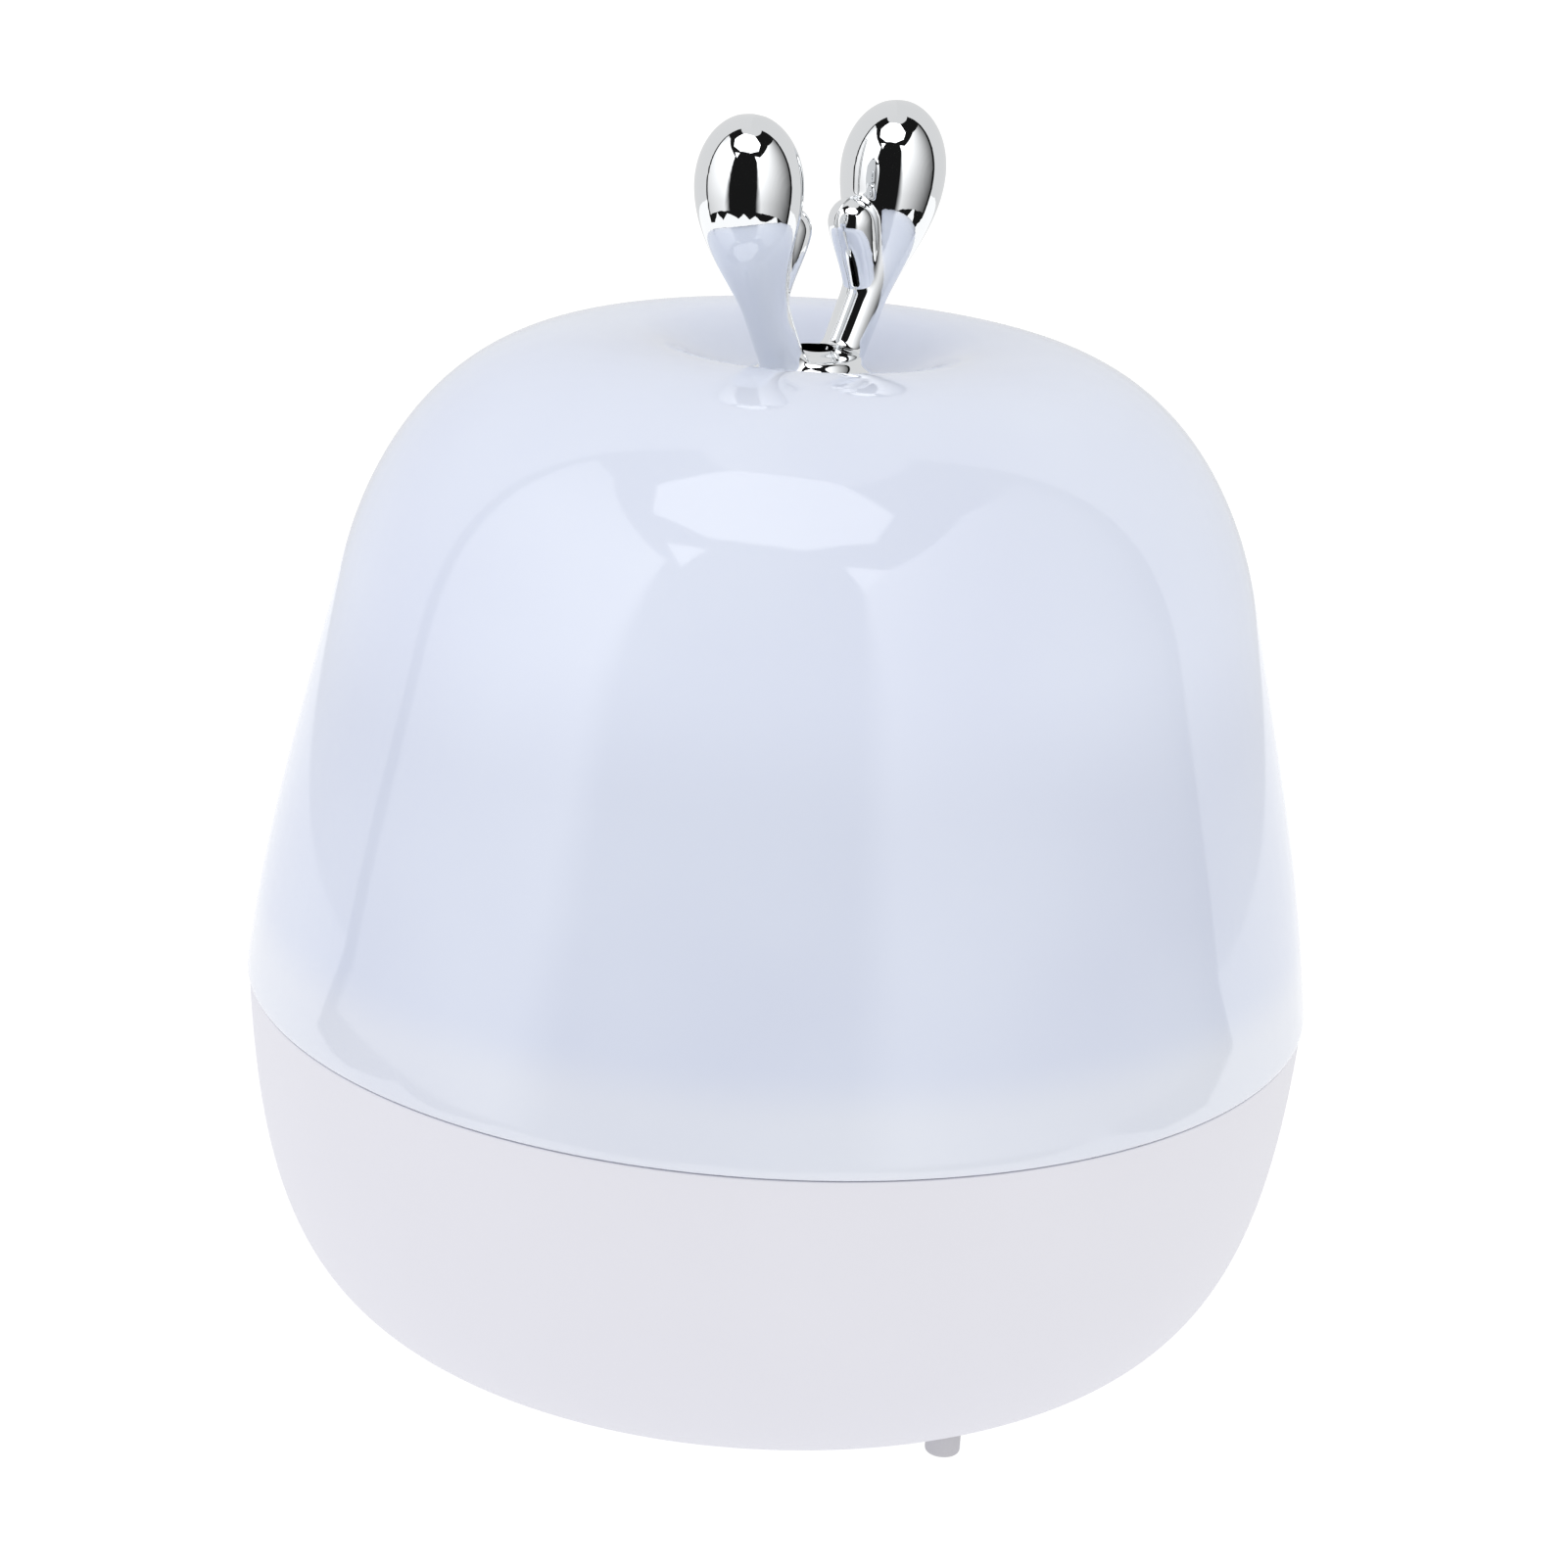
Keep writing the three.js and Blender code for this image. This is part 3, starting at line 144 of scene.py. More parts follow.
@dataclass(frozen=True)
class Finish:
    """A solid finish: one surface with a fine relief and a faint change of tone.

    The relief is a noise of a real grain size, and the tone wanders over a larger, softer noise,
    so that no surface is one flat colour.
    """

    name: str
    colour: str
    roughness: float
    ior: float = 1.5
    metallic: float = 0.0
    grain_mm: float = 0.4
    grain_depth_mm: float = 0.004
    tone: float = 0.02
    tone_mm: float = 18.0
    roughness_spread: float = 0.04
    subsurface: float = 0.0
    subsurface_mm: float = 1.5
    coat: float = 0.0
    coat_roughness: float = 0.05

    def start(self) -> tuple[Material, Tree, Node]:
        """Makes an empty material with a Principled shader on its output.

        Returns:
            The material, its tree and the Principled node.
        """
        material = bpy.data.materials.new(self.name)
        material.use_nodes = True
        tree = material.node_tree
        tree.nodes.clear()
        settings = {
            "Base Color": linear(self.colour),
            "Roughness": self.roughness,
            "Metallic": self.metallic,
            "Subsurface Weight": self.subsurface,
            "Subsurface Scale": self.subsurface_mm * MM,
            "Subsurface Radius": (1.0, 1.0, 1.0),
            "Coat Weight": self.coat,
            "Coat Roughness": self.coat_roughness,
        }
        if not self.metallic:
            settings["IOR"] = self.ior
        shader = add_node(tree, "ShaderNodeBsdfPrincipled", settings)
        output = add_node(tree, "ShaderNodeOutputMaterial")
        tree.links.new(shader.outputs["BSDF"], output.inputs["Surface"])
        return material, tree, shader

    def place(self, tree: Tree) -> Socket:
        """Adds the piece's own coordinates, in metres, which every pattern uses."""
        return add_node(tree, "ShaderNodeTexCoord").outputs["Object"]

    def noise(self, tree: Tree, size_mm: float, detail: float = 3.0) -> Socket:
        """Adds a noise whose features are about one size.

        Args:
            tree: The material's tree.
            size_mm: Width of one feature, in millimetres.
            detail: How many finer layers ride on it.

        Returns:
            The noise's output, from 0 to 1.
        """
        settings = {"Scale": 1 / (size_mm * MM), "Detail": detail, "Roughness": 0.5}
        links = {"Vector": self.place(tree)}
        return add_node(tree, "ShaderNodeTexNoise", settings, links).outputs["Fac"]

    def relief(self, tree: Tree, shader: Node, height: Socket, depth_mm: float) -> None:
        """Feeds a height pattern to the shader's normal.

        Args:
            tree: The material's tree.
            shader: The Principled node.
            height: Output socket with heights from 0 to 1.
            depth_mm: Height of the pattern, in millimetres.
        """
        settings = {"Strength": 1.0, "Distance": depth_mm * MM}
        bump = add_node(tree, "ShaderNodeBump", settings, {"Height": height})
        tree.links.new(bump.outputs["Normal"], shader.inputs["Normal"])

    def spread(self, tree: Tree, shader: Node) -> None:
        """Lets the gloss wander a little over the surface."""
        settings = {
            "To Min": max(self.roughness - self.roughness_spread, 0.0),
            "To Max": min(self.roughness + self.roughness_spread, 1.0),
        }
        links = {"Value": self.noise(tree, self.tone_mm / 2)}
        wander = add_node(tree, "ShaderNodeMapRange", settings, links)
        tree.links.new(wander.outputs["Result"], shader.inputs["Roughness"])

    def colouring(self, tree: Tree) -> Socket:
        """Adds the base colour: from a slightly darker to a slightly lighter tone."""
        base = linear(self.colour)
        dark, light = (
            (*(min(c * share, 1.0) for c in base[:3]), 1.0)
            for share in (1 - self.tone, 1 + self.tone)
        )
        stops = [(0.3, dark), (0.7, light)]
        return add_ramp(tree, self.noise(tree, self.tone_mm), stops).outputs[0]

    def build(self) -> Material:
        """Makes the material.

        Returns:
            The finished material.
        """
        material, tree, shader = self.start()
        self.relief(tree, shader, self.noise(tree, self.grain_mm), self.grain_depth_mm)
        tree.links.new(self.colouring(tree), shader.inputs["Base Color"])
        self.spread(tree, shader)
        return material


@dataclass(frozen=True)
class OpalPolypropylene(Finish):
    """Opal polypropylene from a polished mould: a milky body under a glassy skin.

    Its base colour changes with height. Above the tank's rim, with only air behind the wall, it
    keeps the plain opal colour; beside the tank it carries painted shade, a deeper tone where the
    tank would darken the wall from behind; at the foot it carries painted light, a paler band
    where the white deck would show through.
    """

    # Painted shade beside the tank and painted light at the foot, and the heights where they lie.
    painted_shade_colour: str = "#d3d9e9"
    painted_foot_light_colour: str = "#dbdfea"
    foot_mm: float = 38.8
    top_mm: float = 105.7
    painted_foot_light_band: float = 0.07
    painted_shade_band: float = 0.16
    fade_start: float = 0.46
    fade_end: float = 0.68

    def colouring(self, tree: Tree) -> Socket:
        """Adds the base colour, with painted shade beside the tank and painted light at the foot
        set by height, under a very faint cloudiness.
        """
        height = add_node(tree, "ShaderNodeSeparateXYZ", links={"Vector": self.place(tree)})
        span = {"From Min": self.foot_mm * MM, "From Max": self.top_mm * MM}
        rise = add_node(tree, "ShaderNodeMapRange", span, {"Value": height.outputs["Z"]})
        # Painted light at the foot, painted shade beside the tank, then the plain colour towards
        # the top.
        stops = [
            (self.painted_foot_light_band, linear(self.painted_foot_light_colour)),
            (self.painted_shade_band, linear(self.painted_shade_colour)),
            (self.fade_start, linear(self.painted_shade_colour)),
            (self.fade_end, linear(self.colour)),
        ]
        base = add_ramp(tree, rise.outputs["Result"], stops)
        base.color_ramp.interpolation = "EASE"
        cloud = add_ramp(
            tree,
            self.noise(tree, self.tone_mm, 1.0),
            [(0.3, linear("#f9f9fb")), (0.7, linear("#ffffff"))],
        )
        settings = {"data_type": "RGBA", "blend_type": "MULTIPLY"}
        mix = add_node(tree, "ShaderNodeMix", settings)
        mix.inputs[0].default_value = 1.0
        tree.links.new(base.outputs[0], mix.inputs[6])
        tree.links.new(cloud.outputs[0], mix.inputs[7])
        return mix.outputs[2]


@dataclass(frozen=True)
class LightTable(Finish):
    """The top of a light table: so evenly lit from below that no shadow shows on it."""

    light: float = 0.97

    def build(self) -> Material:
        """Makes the material."""
        material = super().build()
        shader = next(n for n in material.node_tree.nodes if n.type == "BSDF_PRINCIPLED")
        shader.inputs["Emission Color"].default_value = linear("#ffffff")
        shader.inputs["Emission Strength"].default_value = self.light
        return material


@dataclass(frozen=True)
class SlipDisc(Finish):
    """The mist disc: a silvered ceramic ring round a steel mesh that is too fine to see."""

    mesh_radius_mm: float = 2.8
    mesh_colour: str = "#8f9294"

    def colouring(self, tree: Tree) -> Socket:
        """Adds silver outside the mesh's radius and steel inside it."""
        settings = {"operation": "LENGTH"}
        flat = add_node(tree, "ShaderNodeMapping", {"Scale": (1.0, 1.0, 0.0)})
        tree.links.new(self.place(tree), flat.inputs["Vector"])
        far = add_node(tree, "ShaderNodeVectorMath", settings)
        tree.links.new(flat.outputs["Vector"], far.inputs[0])
        span = {"From Min": 0.0, "From Max": 2 * self.mesh_radius_mm * MM}
        share = add_node(tree, "ShaderNodeMapRange", span, {"Value": far.outputs["Value"]})
        stops = [(0.49, linear(self.mesh_colour)), (0.51, linear(self.colour))]
        return add_ramp(tree, share.outputs["Result"], stops).outputs[0]


# Opal polypropylene, moulded in a polished tool: milky, with sharp pale reflections on top.
# Its base colour carries painted shade beside the tank and painted light at the foot.
OPAL_DOME = OpalPolypropylene(
    "opal_polypropylene_polished_mould",
    "#dbe1f1",
    roughness=0.06,
    ior=1.49,
    grain_mm=30.0,
    grain_depth_mm=0.02,
    tone_mm=26.0,
    roughness_spread=0.02,
    subsurface=0.25,
    subsurface_mm=2.0,
)
# ABS from a spark-eroded mould: an even matt white whose fine grain breaks up the highlights.
MATT_ABS = Finish(
    "abs_moulded_fine_matt",
    "#dadae3",
    roughness=0.45,
    grain_mm=0.35,
    grain_depth_mm=0.008,
    tone=0.006,
    roughness_spread=0.05,
)
# The same ABS from a plainer tool, for what stays inside: a touch glossier, with faint flow marks.
SATIN_ABS = Finish("abs_moulded_satin", "#ececea", roughness=0.36, grain_mm=0.6, tone=0.015)
# Chrome over polished copper and nickel on ABS: a hard mirror with a trace of orange peel.
CHROME_PLATE = Finish(
    "chrome_plate_on_abs",
    "#f1f3f5",
    roughness=0.02,
    metallic=1.0,
    grain_mm=5.0,
    grain_depth_mm=0.003,
    tone=0.004,
    roughness_spread=0.01,
)
# Natural polypropylene from a blasted mould: cloudy, with a soft sheen along its rims.
FROSTED_PP = Finish(
    "polypropylene_natural_frosted",
    "#e2e7ea",
    roughness=0.32,
    ior=1.49,
    grain_mm=0.3,
    subsurface=0.3,
    subsurface_mm=3.0,
    tone=0.015,
)
# Light grey rubber, compression moulded: dull, with a faint bloom.
FOOT_RUBBER = Finish(
    "rubber_moulded_light_grey", "#bebdc3", roughness=0.7, grain_mm=0.25, tone=0.05
)
# Clear-white silicone, pressed: soft edges and a waxy depth.
SILICONE = Finish(
    "silicone_pressed", "#dfe3e6", roughness=0.5, ior=1.41, grain_mm=0.5, subsurface=0.3
)
# Cotton fibre pressed into a stick: dull and fuzzy, with loose strands.
COTTON = Finish(
    "cotton_fibre_pressed",
    "#f2f0e8",
    roughness=0.95,
    grain_mm=0.22,
    grain_depth_mm=0.09,
    tone=0.05,
    tone_mm=2.0,
)
# Zinc-plated steel wire and screws: bright but slightly milky.
ZINC_STEEL = Finish(
    "steel_zinc_plated",
    "#c3c6ca",
    roughness=0.3,
    metallic=1.0,
    grain_mm=0.8,
    tone=0.05,
    tone_mm=3.0,
)
# Brass pins flashed with gold: warm and smooth.
GOLD_FLASH = Finish(
    "brass_gold_flashed",
    "#dcbb6a",
    roughness=0.22,
    metallic=1.0,
    grain_mm=0.5,
    tone=0.04,
    tone_mm=2.0,
)
# Silver fired on a ceramic ring, with a steel mesh in its middle: pale metal round a grey spot.
FIRED_SILVER = SlipDisc(
    "silver_fired_on_ceramic", "#d3cfc4", roughness=0.4, metallic=1.0, grain_mm=0.2
)
# Glass-fibre laminate under green solder mask: semi-gloss, with the weave just showing.
SOLDER_MASK = Finish(
    "glass_fibre_board_solder_mask",
    "#1f6f48",
    roughness=0.35,
    grain_mm=0.5,
    tone=0.08,
    tone_mm=1.2,
)
# White solder mask on the light board, so that it throws the light back: chalky and even.
WHITE_MASK = Finish(
    "glass_fibre_board_white_mask", "#e8e9e6", roughness=0.4, grain_mm=0.5, tone=0.02, tone_mm=2.0
)
# Black nylon, moulded: dark and slightly grainy.
BLACK_NYLON = Finish("nylon_moulded_black", "#232427", roughness=0.5, grain_mm=0.3, tone=0.06)
# Yellow phosphor in clear epoxy: the face of each light when it is off, with a wet-looking top.
LED_EPOXY = Finish("phosphor_epoxy", "#f0dc86", roughness=0.25, grain_mm=0.3, tone=0.06, coat=0.5)
# Tinned ends of chip resistors: small, bright and uneven.
TINNED = Finish("solder_tinned", "#c9cbcd", roughness=0.28, metallic=1.0, grain_mm=0.3, tone=0.08)
# PVC over fine copper: a waxy red.
RED_PVC = Finish("pvc_extruded_red", "#b43b36", roughness=0.45, grain_mm=0.3, tone=0.03)
# Opal acrylic, sanded, lit from below: a plain white floor with no texture and no shadow.
TABLE_TOP = LightTable("acrylic_opal_sanded", "#4c4c4c", roughness=0.9, grain_mm=1.5, tone=0.002)


@dataclass
class Palette:
    """Makes each finish's material once, when it is first asked for."""

    made: dict[str, Material] = field(default_factory=dict)

    def of(self, finish: Finish) -> Material:
        """Gives the material of a finish."""
        if finish.name not in self.made:
            self.made[finish.name] = finish.build()
        return self.made[finish.name]


PALETTE = Palette()


# ---- Shapes ----


def curve(start: Vector, leave: Vector, arrive: Vector, end: Vector, steps: int) -> Outline:
    """Gives points along a cubic curve.

    Args:
        start: First point, as radius and height in millimetres.
        leave: Handle from the first point.
        arrive: Handle from the last point.
        end: Last point.
        steps: How many pieces to cut it into.

    Returns:
        The points, both ends included.
    """
    first, second = start + leave, end + arrive
    points = []
    for i in range(steps + 1):
        t = i / steps
        at = start * (1 - t) ** 3 + end * t**3
        at += first * (3 * t * (1 - t) ** 2) + second * (3 * t * t * (1 - t))
        points.append((at.x, at.y))
    return points


def even(points: Outline, steps: int) -> Outline:
    """Cuts a line of points into equal lengths.

    Args:
        points: The line.
        steps: How many equal pieces.

    Returns:
        The new points, both ends included.
    """
    line = [Vector(p) for p in points]
    runs = [0.0]
    for a, b in zip(line, line[1:]):
        runs.append(runs[-1] + (b - a).length)
    result = []
    k = 0
    for i in range(steps + 1):
        want = runs[-1] * i / steps
        while k < len(runs) - 2 and runs[k + 1] < want:
            k += 1
        share = (want - runs[k]) / (runs[k + 1] - runs[k])
        result.append(tuple(line[k].lerp(line[k + 1], share)))
    return result


def rounded(corners: Sequence[tuple[float, float, float]], closed: bool = True) -> Outline:
    """Rounds the corners of an outline.

    Args:
        corners: Radius, height and rounding of each corner, in millimetres.
        closed: False leaves the first and last corner as they are.

    Returns:
        The outline with an arc at each rounded corner.
    """
    points: Outline = []
    count = len(corners)
    for i, (x, z, rounding) in enumerate(corners):
        here = Vector((x, z))
        at_end = not closed and i in (0, count - 1)
        if rounding <= 0 or at_end:
            points.append((x, z))
            continue
        before = Vector(corners[i - 1][:2]) - here
        after = Vector(corners[(i + 1) % count][:2]) - here
        reach = min(rounding, before.length * 0.49, after.length * 0.49)
        first, last = before.normalized() * reach, after.normalized() * reach
        for k in range(ARC_STEPS + 1):
            t = k / ARC_STEPS
            at = here + first * (1 - t) ** 2 + last * t * t
            points.append((at.x, at.y))
    return points


def offset(outline: Outline, distance: float) -> Outline:
    """Moves an outline sideways, to the left of the way it runs.

    Args:
        outline: The points, in millimetres.
        distance: How far to move them.

    Returns:
        The moved points.
    """
    moved = []
    for i, (radius, height) in enumerate(outline):
        before, after = outline[max(i - 1, 0)], outline[min(i + 1, len(outline) - 1)]
        run = math.hypot(after[0] - before[0], after[1] - before[1])
        across = distance * (after[1] - before[1]) / run
        up = distance * (after[0] - before[0]) / run
        moved.append((radius - across, height + up))
    return moved


def radius_at(outline: Outline, height: float) -> float:
    """Reads a rising outline's radius at a height, both in millimetres."""
    for (r0, z0), (r1, z1) in zip(outline, outline[1:]):
        if z0 <= height <= z1 and z1 > z0:
            return r0 + (r1 - r0) * (height - z0) / (z1 - z0)
    return outline[-1][0]


def around(count: int) -> list[tuple[float, float]]:
    """Gives the cosine and sine of evenly spaced turns round a full circle."""
    turns = [2 * math.pi * k / count for k in range(count)]
    return [(math.cos(turn), math.sin(turn)) for turn in turns]


def outward(spot: tuple[float, float], swing: float = 0.0) -> Matrix:
    """Gives the matrix that carries a piece from the axis to a spot and turns it to face out.

    Args:
        spot: The spot's x and y.
        swing: How far to swing the spot round the axis, in radians.

    Returns:
        The matrix, for meshes in metres.
    """
    far, turn = math.hypot(*spot), math.atan2(spot[1], spot[0]) + swing
    place = Vector((far * math.cos(turn), far * math.sin(turn), 0)) * MM
    return Matrix.Translation(place) @ Matrix.Rotation(turn, 4, "Z")


def finish_mesh(name: str, body: bmesh.types.BMesh, crease_degrees: float = 35.0) -> Thing:
    """Turns a bmesh into a smooth-shaded object with hard corners kept.

    Args:
        name: The piece's name.
        body: The bmesh, in metres. It is freed.
        crease_degrees: Edges sharper than this stay crisp.

    Returns:
        The new object.
    """
    bmesh.ops.remove_doubles(body, verts=body.verts, dist=1e-7)
    bmesh.ops.recalc_face_normals(body, faces=body.faces)
    mesh = bpy.data.meshes.new(name)
    body.to_mesh(mesh)
    body.free()
    thing = bpy.data.objects.new(name, mesh)
    bpy.context.scene.collection.objects.link(thing)
    return crisp(thing, crease_degrees)


def crisp(thing: Thing, crease_degrees: float = 35.0) -> Thing:
    """Shades an object smooth, with the edges over an angle kept sharp.

    Args:
        thing: The object.
        crease_degrees: Edges sharper than this stay crisp.

    Returns:
        The object.
    """
    thing.data.shade_smooth()
    thing.data.set_sharp_from_angle(angle=math.radians(crease_degrees))
    return thing


def turned(
    name: str,
    outline: Iterable[tuple[float, float]],
    closed: bool = False,
    segments: Segments = Segments.MEDIUM,
    centre: tuple[float, float] = (0.0, 0.0),
) -> Thing:
    """Makes a piece turned about an upright axis.

    Args:
        name: The piece's name.
        outline: Radius and height of each point, in millimetres.
        closed: True joins the last point back to the first, for rings and shells.
        segments: How finely to cut it.
        centre: The axis's x and y, in millimetres.

    Returns:
        The new object.
    """
    body = bmesh.new()
    count = segments.value
    turns = around(count)
    x, y = centre
    rings = []
    for radius, height in outline:
        spots = turns if radius > 1e-6 else [(0.0, 0.0)]
        circle = [((x + radius * c) * MM, (y + radius * s) * MM, height * MM) for c, s in spots]
        rings.append([body.verts.new(spot) for spot in circle])
    pairs = list(zip(rings, rings[1:]))
    if closed:
        pairs.append((rings[-1], rings[0]))
    for low, high in pairs:
        join_rings(body, low, high, count)
    return finish_mesh(name, body)


def join_rings(body: bmesh.types.BMesh, low: list, high: list, count: int) -> None:
    """Fills the band between two rings of vertices, either of which may be a single point.

    Args:
        body: The bmesh that holds them.
        low: Vertices of the first ring.
        high: Vertices of the second ring.
        count: How many faces go round the band.
    """
    for k in range(count):
        nxt = (k + 1) % count
        corners = [
            low[k % len(low)],
            low[nxt % len(low)],
            high[nxt % len(high)],
            high[k % len(high)],
        ]
        unique = list(dict.fromkeys(corners))
        if len(unique) > 2:
            body.faces.new(unique)


def disc(
    name: str,
    radius: float,
    low: float,
    high: float,
    rounding: float = 0.2,
    centre: tuple[float, float] = (0.0, 0.0),
    segments: Segments = Segments.SMALL,
) -> Thing:
    """Makes an upright round disc or peg with rounded edges.

    Args:
        name: The piece's name.
        radius: Its radius, in millimetres.
        low: Height of its lower face.
        high: Height of its upper face.
        rounding: Radius of both edges.
        centre: Its x and y.
        segments: How finely to cut it.

    Returns:
        The new object.
    """
    corners = [(0, low, 0), (radius, low, rounding), (radius, high, rounding), (0, high, 0)]
    return turned(name, rounded(corners, closed=False), segments=segments, centre=centre)


def ring(
    name: str,
    inner: float,
    outer: float,
    low: float,
    high: float,
    rounding: float = 0.2,
    segments: Segments = Segments.MEDIUM,
) -> Thing:
    """Makes an upright tube or flat ring with rounded edges.

    Args:
        name: The piece's name.
        inner: Radius of its hole, in millimetres.
        outer: Its outside radius.
        low: Height of its lower face.
        high: Height of its upper face.
        rounding: Radius of its edges.
        segments: How finely to cut it.

    Returns:
        The new object.
    """
    corners = [(inner, low), (outer, low), (outer, high), (inner, high)]
    outline = rounded([(*corner, rounding) for corner in corners])
    return turned(name, outline, closed=True, segments=segments)


def bevel_edges(body: bmesh.types.BMesh, edges: Iterable, width: float) -> None:
    """Rounds some edges of a bmesh.

    Args:
        body: The bmesh.
        edges: The edges to round.
        width: How far the rounding reaches over each side.
    """
    bmesh.ops.bevel(
        body, geom=list(edges), offset=width * MM, segments=3, profile=0.5, affect="EDGES"
    )


def block(name: str, low: Sequence[float], high: Sequence[float], rounding: float = 0.2) -> Thing:
    """Makes a block with rounded edges between two corners.

    Args:
        name: The piece's name.
        low: Lowest corner, in millimetres.
        high: Highest corner, in millimetres.
        rounding: Radius of its edges, in millimetres.

    Returns:
        The new object.
    """
    body = bmesh.new()
    bmesh.ops.create_cube(body, size=1.0)
    size, middle = Vector(high) - Vector(low), (Vector(high) + Vector(low)) / 2
    for vert in body.verts:
        vert.co = (Vector(c * s for c, s in zip(vert.co, size)) + middle) * MM
    if rounding > 0:
        bevel_edges(body, body.edges, rounding)
    return finish_mesh(name, body)


def bar(
    name: str,
    width: float,
    height: float,
    ends: tuple[float, float],
    centre: tuple[float, float],
    rounding: float = 0.0,
) -> Thing:
    """Makes a bar along Y whose section has fully round ends; equal sides make it a round rod.

    Args:
        name: The piece's name.
        width: Its width along X, in millimetres.
        height: Its height, no more than its width.
        ends: Where it starts and ends in y.
        centre: Its x and z.
        rounding: Radius of its edges.

    Returns:
        The new object.
    """
    body = bmesh.new()
    straight, radius = (width - height) / 2, height / 2
    steps = 24
    section = []
    for side in (1, -1):
        for k in range(steps + 1):
            turn = math.pi * k / steps - math.pi / 2
            x, z = straight + radius * math.cos(turn), radius * math.sin(turn)
            section.append((side * x, side * z))
    rows = [
        [body.verts.new(((centre[0] + x) * MM, y * MM, (centre[1] + z) * MM)) for x, z in section]
        for y in ends
    ]
    join_rings(body, rows[0], rows[1], len(section))
    caps = [body.faces.new(row) for row in rows]
    if rounding > 0:
        bevel_edges(body, {edge for cap in caps for edge in cap.edges}, rounding)
    return finish_mesh(name, body)


def tube(name: str, points: Sequence[Sequence[float]], radius: float, sides: int = 6) -> Thing:
    """Makes a round wire along a line of points.

    Args:
        name: The piece's name.
        points: The points that it follows, in millimetres.
        radius: Radius of the wire.
        sides: A quarter of the number of sides of its section, less one.

    Returns:
        The new object.
    """
    line = bpy.data.curves.new(name, "CURVE")
    line.dimensions = "3D"
    line.bevel_depth = radius * MM
    line.bevel_resolution = sides
    line.use_fill_caps = True
    spline = line.splines.new("POLY")
    spline.points.add(len(points) - 1)
    for spot, point in zip(spline.points, points):
        spot.co = (*(Vector(point) * MM), 1.0)
    holder = bpy.data.objects.new(name, line)
    bpy.context.scene.collection.objects.link(holder)
    depsgraph = bpy.context.evaluated_depsgraph_get()
    mesh = bpy.data.meshes.new_from_object(holder.evaluated_get(depsgraph))
    bpy.data.objects.remove(holder)
    thing = bpy.data.objects.new(name, mesh)
    bpy.context.scene.collection.objects.link(thing)
    return crisp(thing)


def apply_modifiers(thing: Thing) -> None:
    """Bakes an object's modifiers into its mesh.

    Args:
        thing: The object, which keeps its name and loses its modifiers.
    """
    depsgraph = bpy.context.evaluated_depsgraph_get()
    made = bpy.data.meshes.new_from_object(thing.evaluated_get(depsgraph))
    thing.modifiers.clear()
    thing.data = made


def cut(thing: Thing, tools: Iterable[Thing], operation: str = "DIFFERENCE") -> Thing:
    """Cuts or joins an object with others, which are then removed.

    Args:
        thing: The object that stays.
        tools: The objects to cut or join with.
        operation: DIFFERENCE, UNION or INTERSECT.

    Returns:
        The object.
    """
    for tool in tools:
        boolean = thing.modifiers.new("cut", "BOOLEAN")
        boolean.operation = operation
        boolean.solver = "EXACT"
        boolean.object = tool
        apply_modifiers(thing)
        bpy.data.objects.remove(tool)
    return crisp(thing)


def merge(thing: Thing, others: Iterable[Thing]) -> Thing:
    """Puts the meshes of other objects into one object, and removes the others.

    Args:
        thing: The object that stays.
        others: The objects to take in.

    Returns:
        The object.
    """
    body = bmesh.new()
    body.from_mesh(thing.data)
    for other in others:
        body.from_mesh(other.data)
        bpy.data.objects.remove(other)
    body.to_mesh(thing.data)
    body.free()
    return crisp(thing)


def dress(thing: Thing, finish: Finish, body: str, nodes: Sequence[str] = ()) -> Thing:
    """Gives a piece its material and body, and hides the frame nodes that it stands for.

    Args:
        thing: The piece.
        finish: Its finish.
        body: The moving body that it rides on.
        nodes: The frame nodes that it replaces, if any.

    Returns:
        The piece.
    """
    thing.data.materials.clear()
    thing.data.materials.append(PALETTE.of(finish))
    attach(thing, body)
    if nodes:
        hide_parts(*nodes)
    log.info("%s rides on %s in %s", thing.name, body, finish.name)
    return thing


def keep(node: str, finish: Finish, bevel_mm: float = 0.12) -> None:
    """Keeps a frame node's own shape, with its edges broken and a real finish on it.

    Args:
        node: The frame node.
        finish: Its finish.
        bevel_mm: Width of the broken edges, in millimetres.
    """
    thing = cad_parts[node]
    if not thing.material_slots:
        thing.data.materials.append(PALETTE.of(finish))
    for place in thing.material_slots:
        place.material = PALETTE.of(finish)
    bevel = thing.modifiers.new("broken_edges", "BEVEL")
    bevel.width = bevel_mm * MM
    bevel.segments = 2
    bevel.limit_method = "ANGLE"
    bevel.angle_limit = math.radians(40)
    log.info("%s keeps its own shape in %s", node, finish.name)


def node_span(node: str) -> tuple[Vector, Vector]:
    """Gives a frame node's lowest and highest corners, in millimetres."""
    low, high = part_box(node)
    return Vector(low) / MM, Vector(high) / MM


def node_middle(node: str) -> Vector:
    """Gives the middle of a frame node's box, in millimetres."""
    low, high = node_span(node)
    return (low + high) / 2


def node_spot(node: str) -> tuple[float, float]:
    """Gives the x and y of the middle of a frame node's box, in millimetres."""
    middle = node_middle(node)
    return middle.x, middle.y


def numbered(name: str, count: int) -> list[str]:
    """Gives the frame nodes of one kind, numbered from 1."""
    return [f"{name}_{i}" for i in range(1, count + 1)]


# ---- The humidifier ----


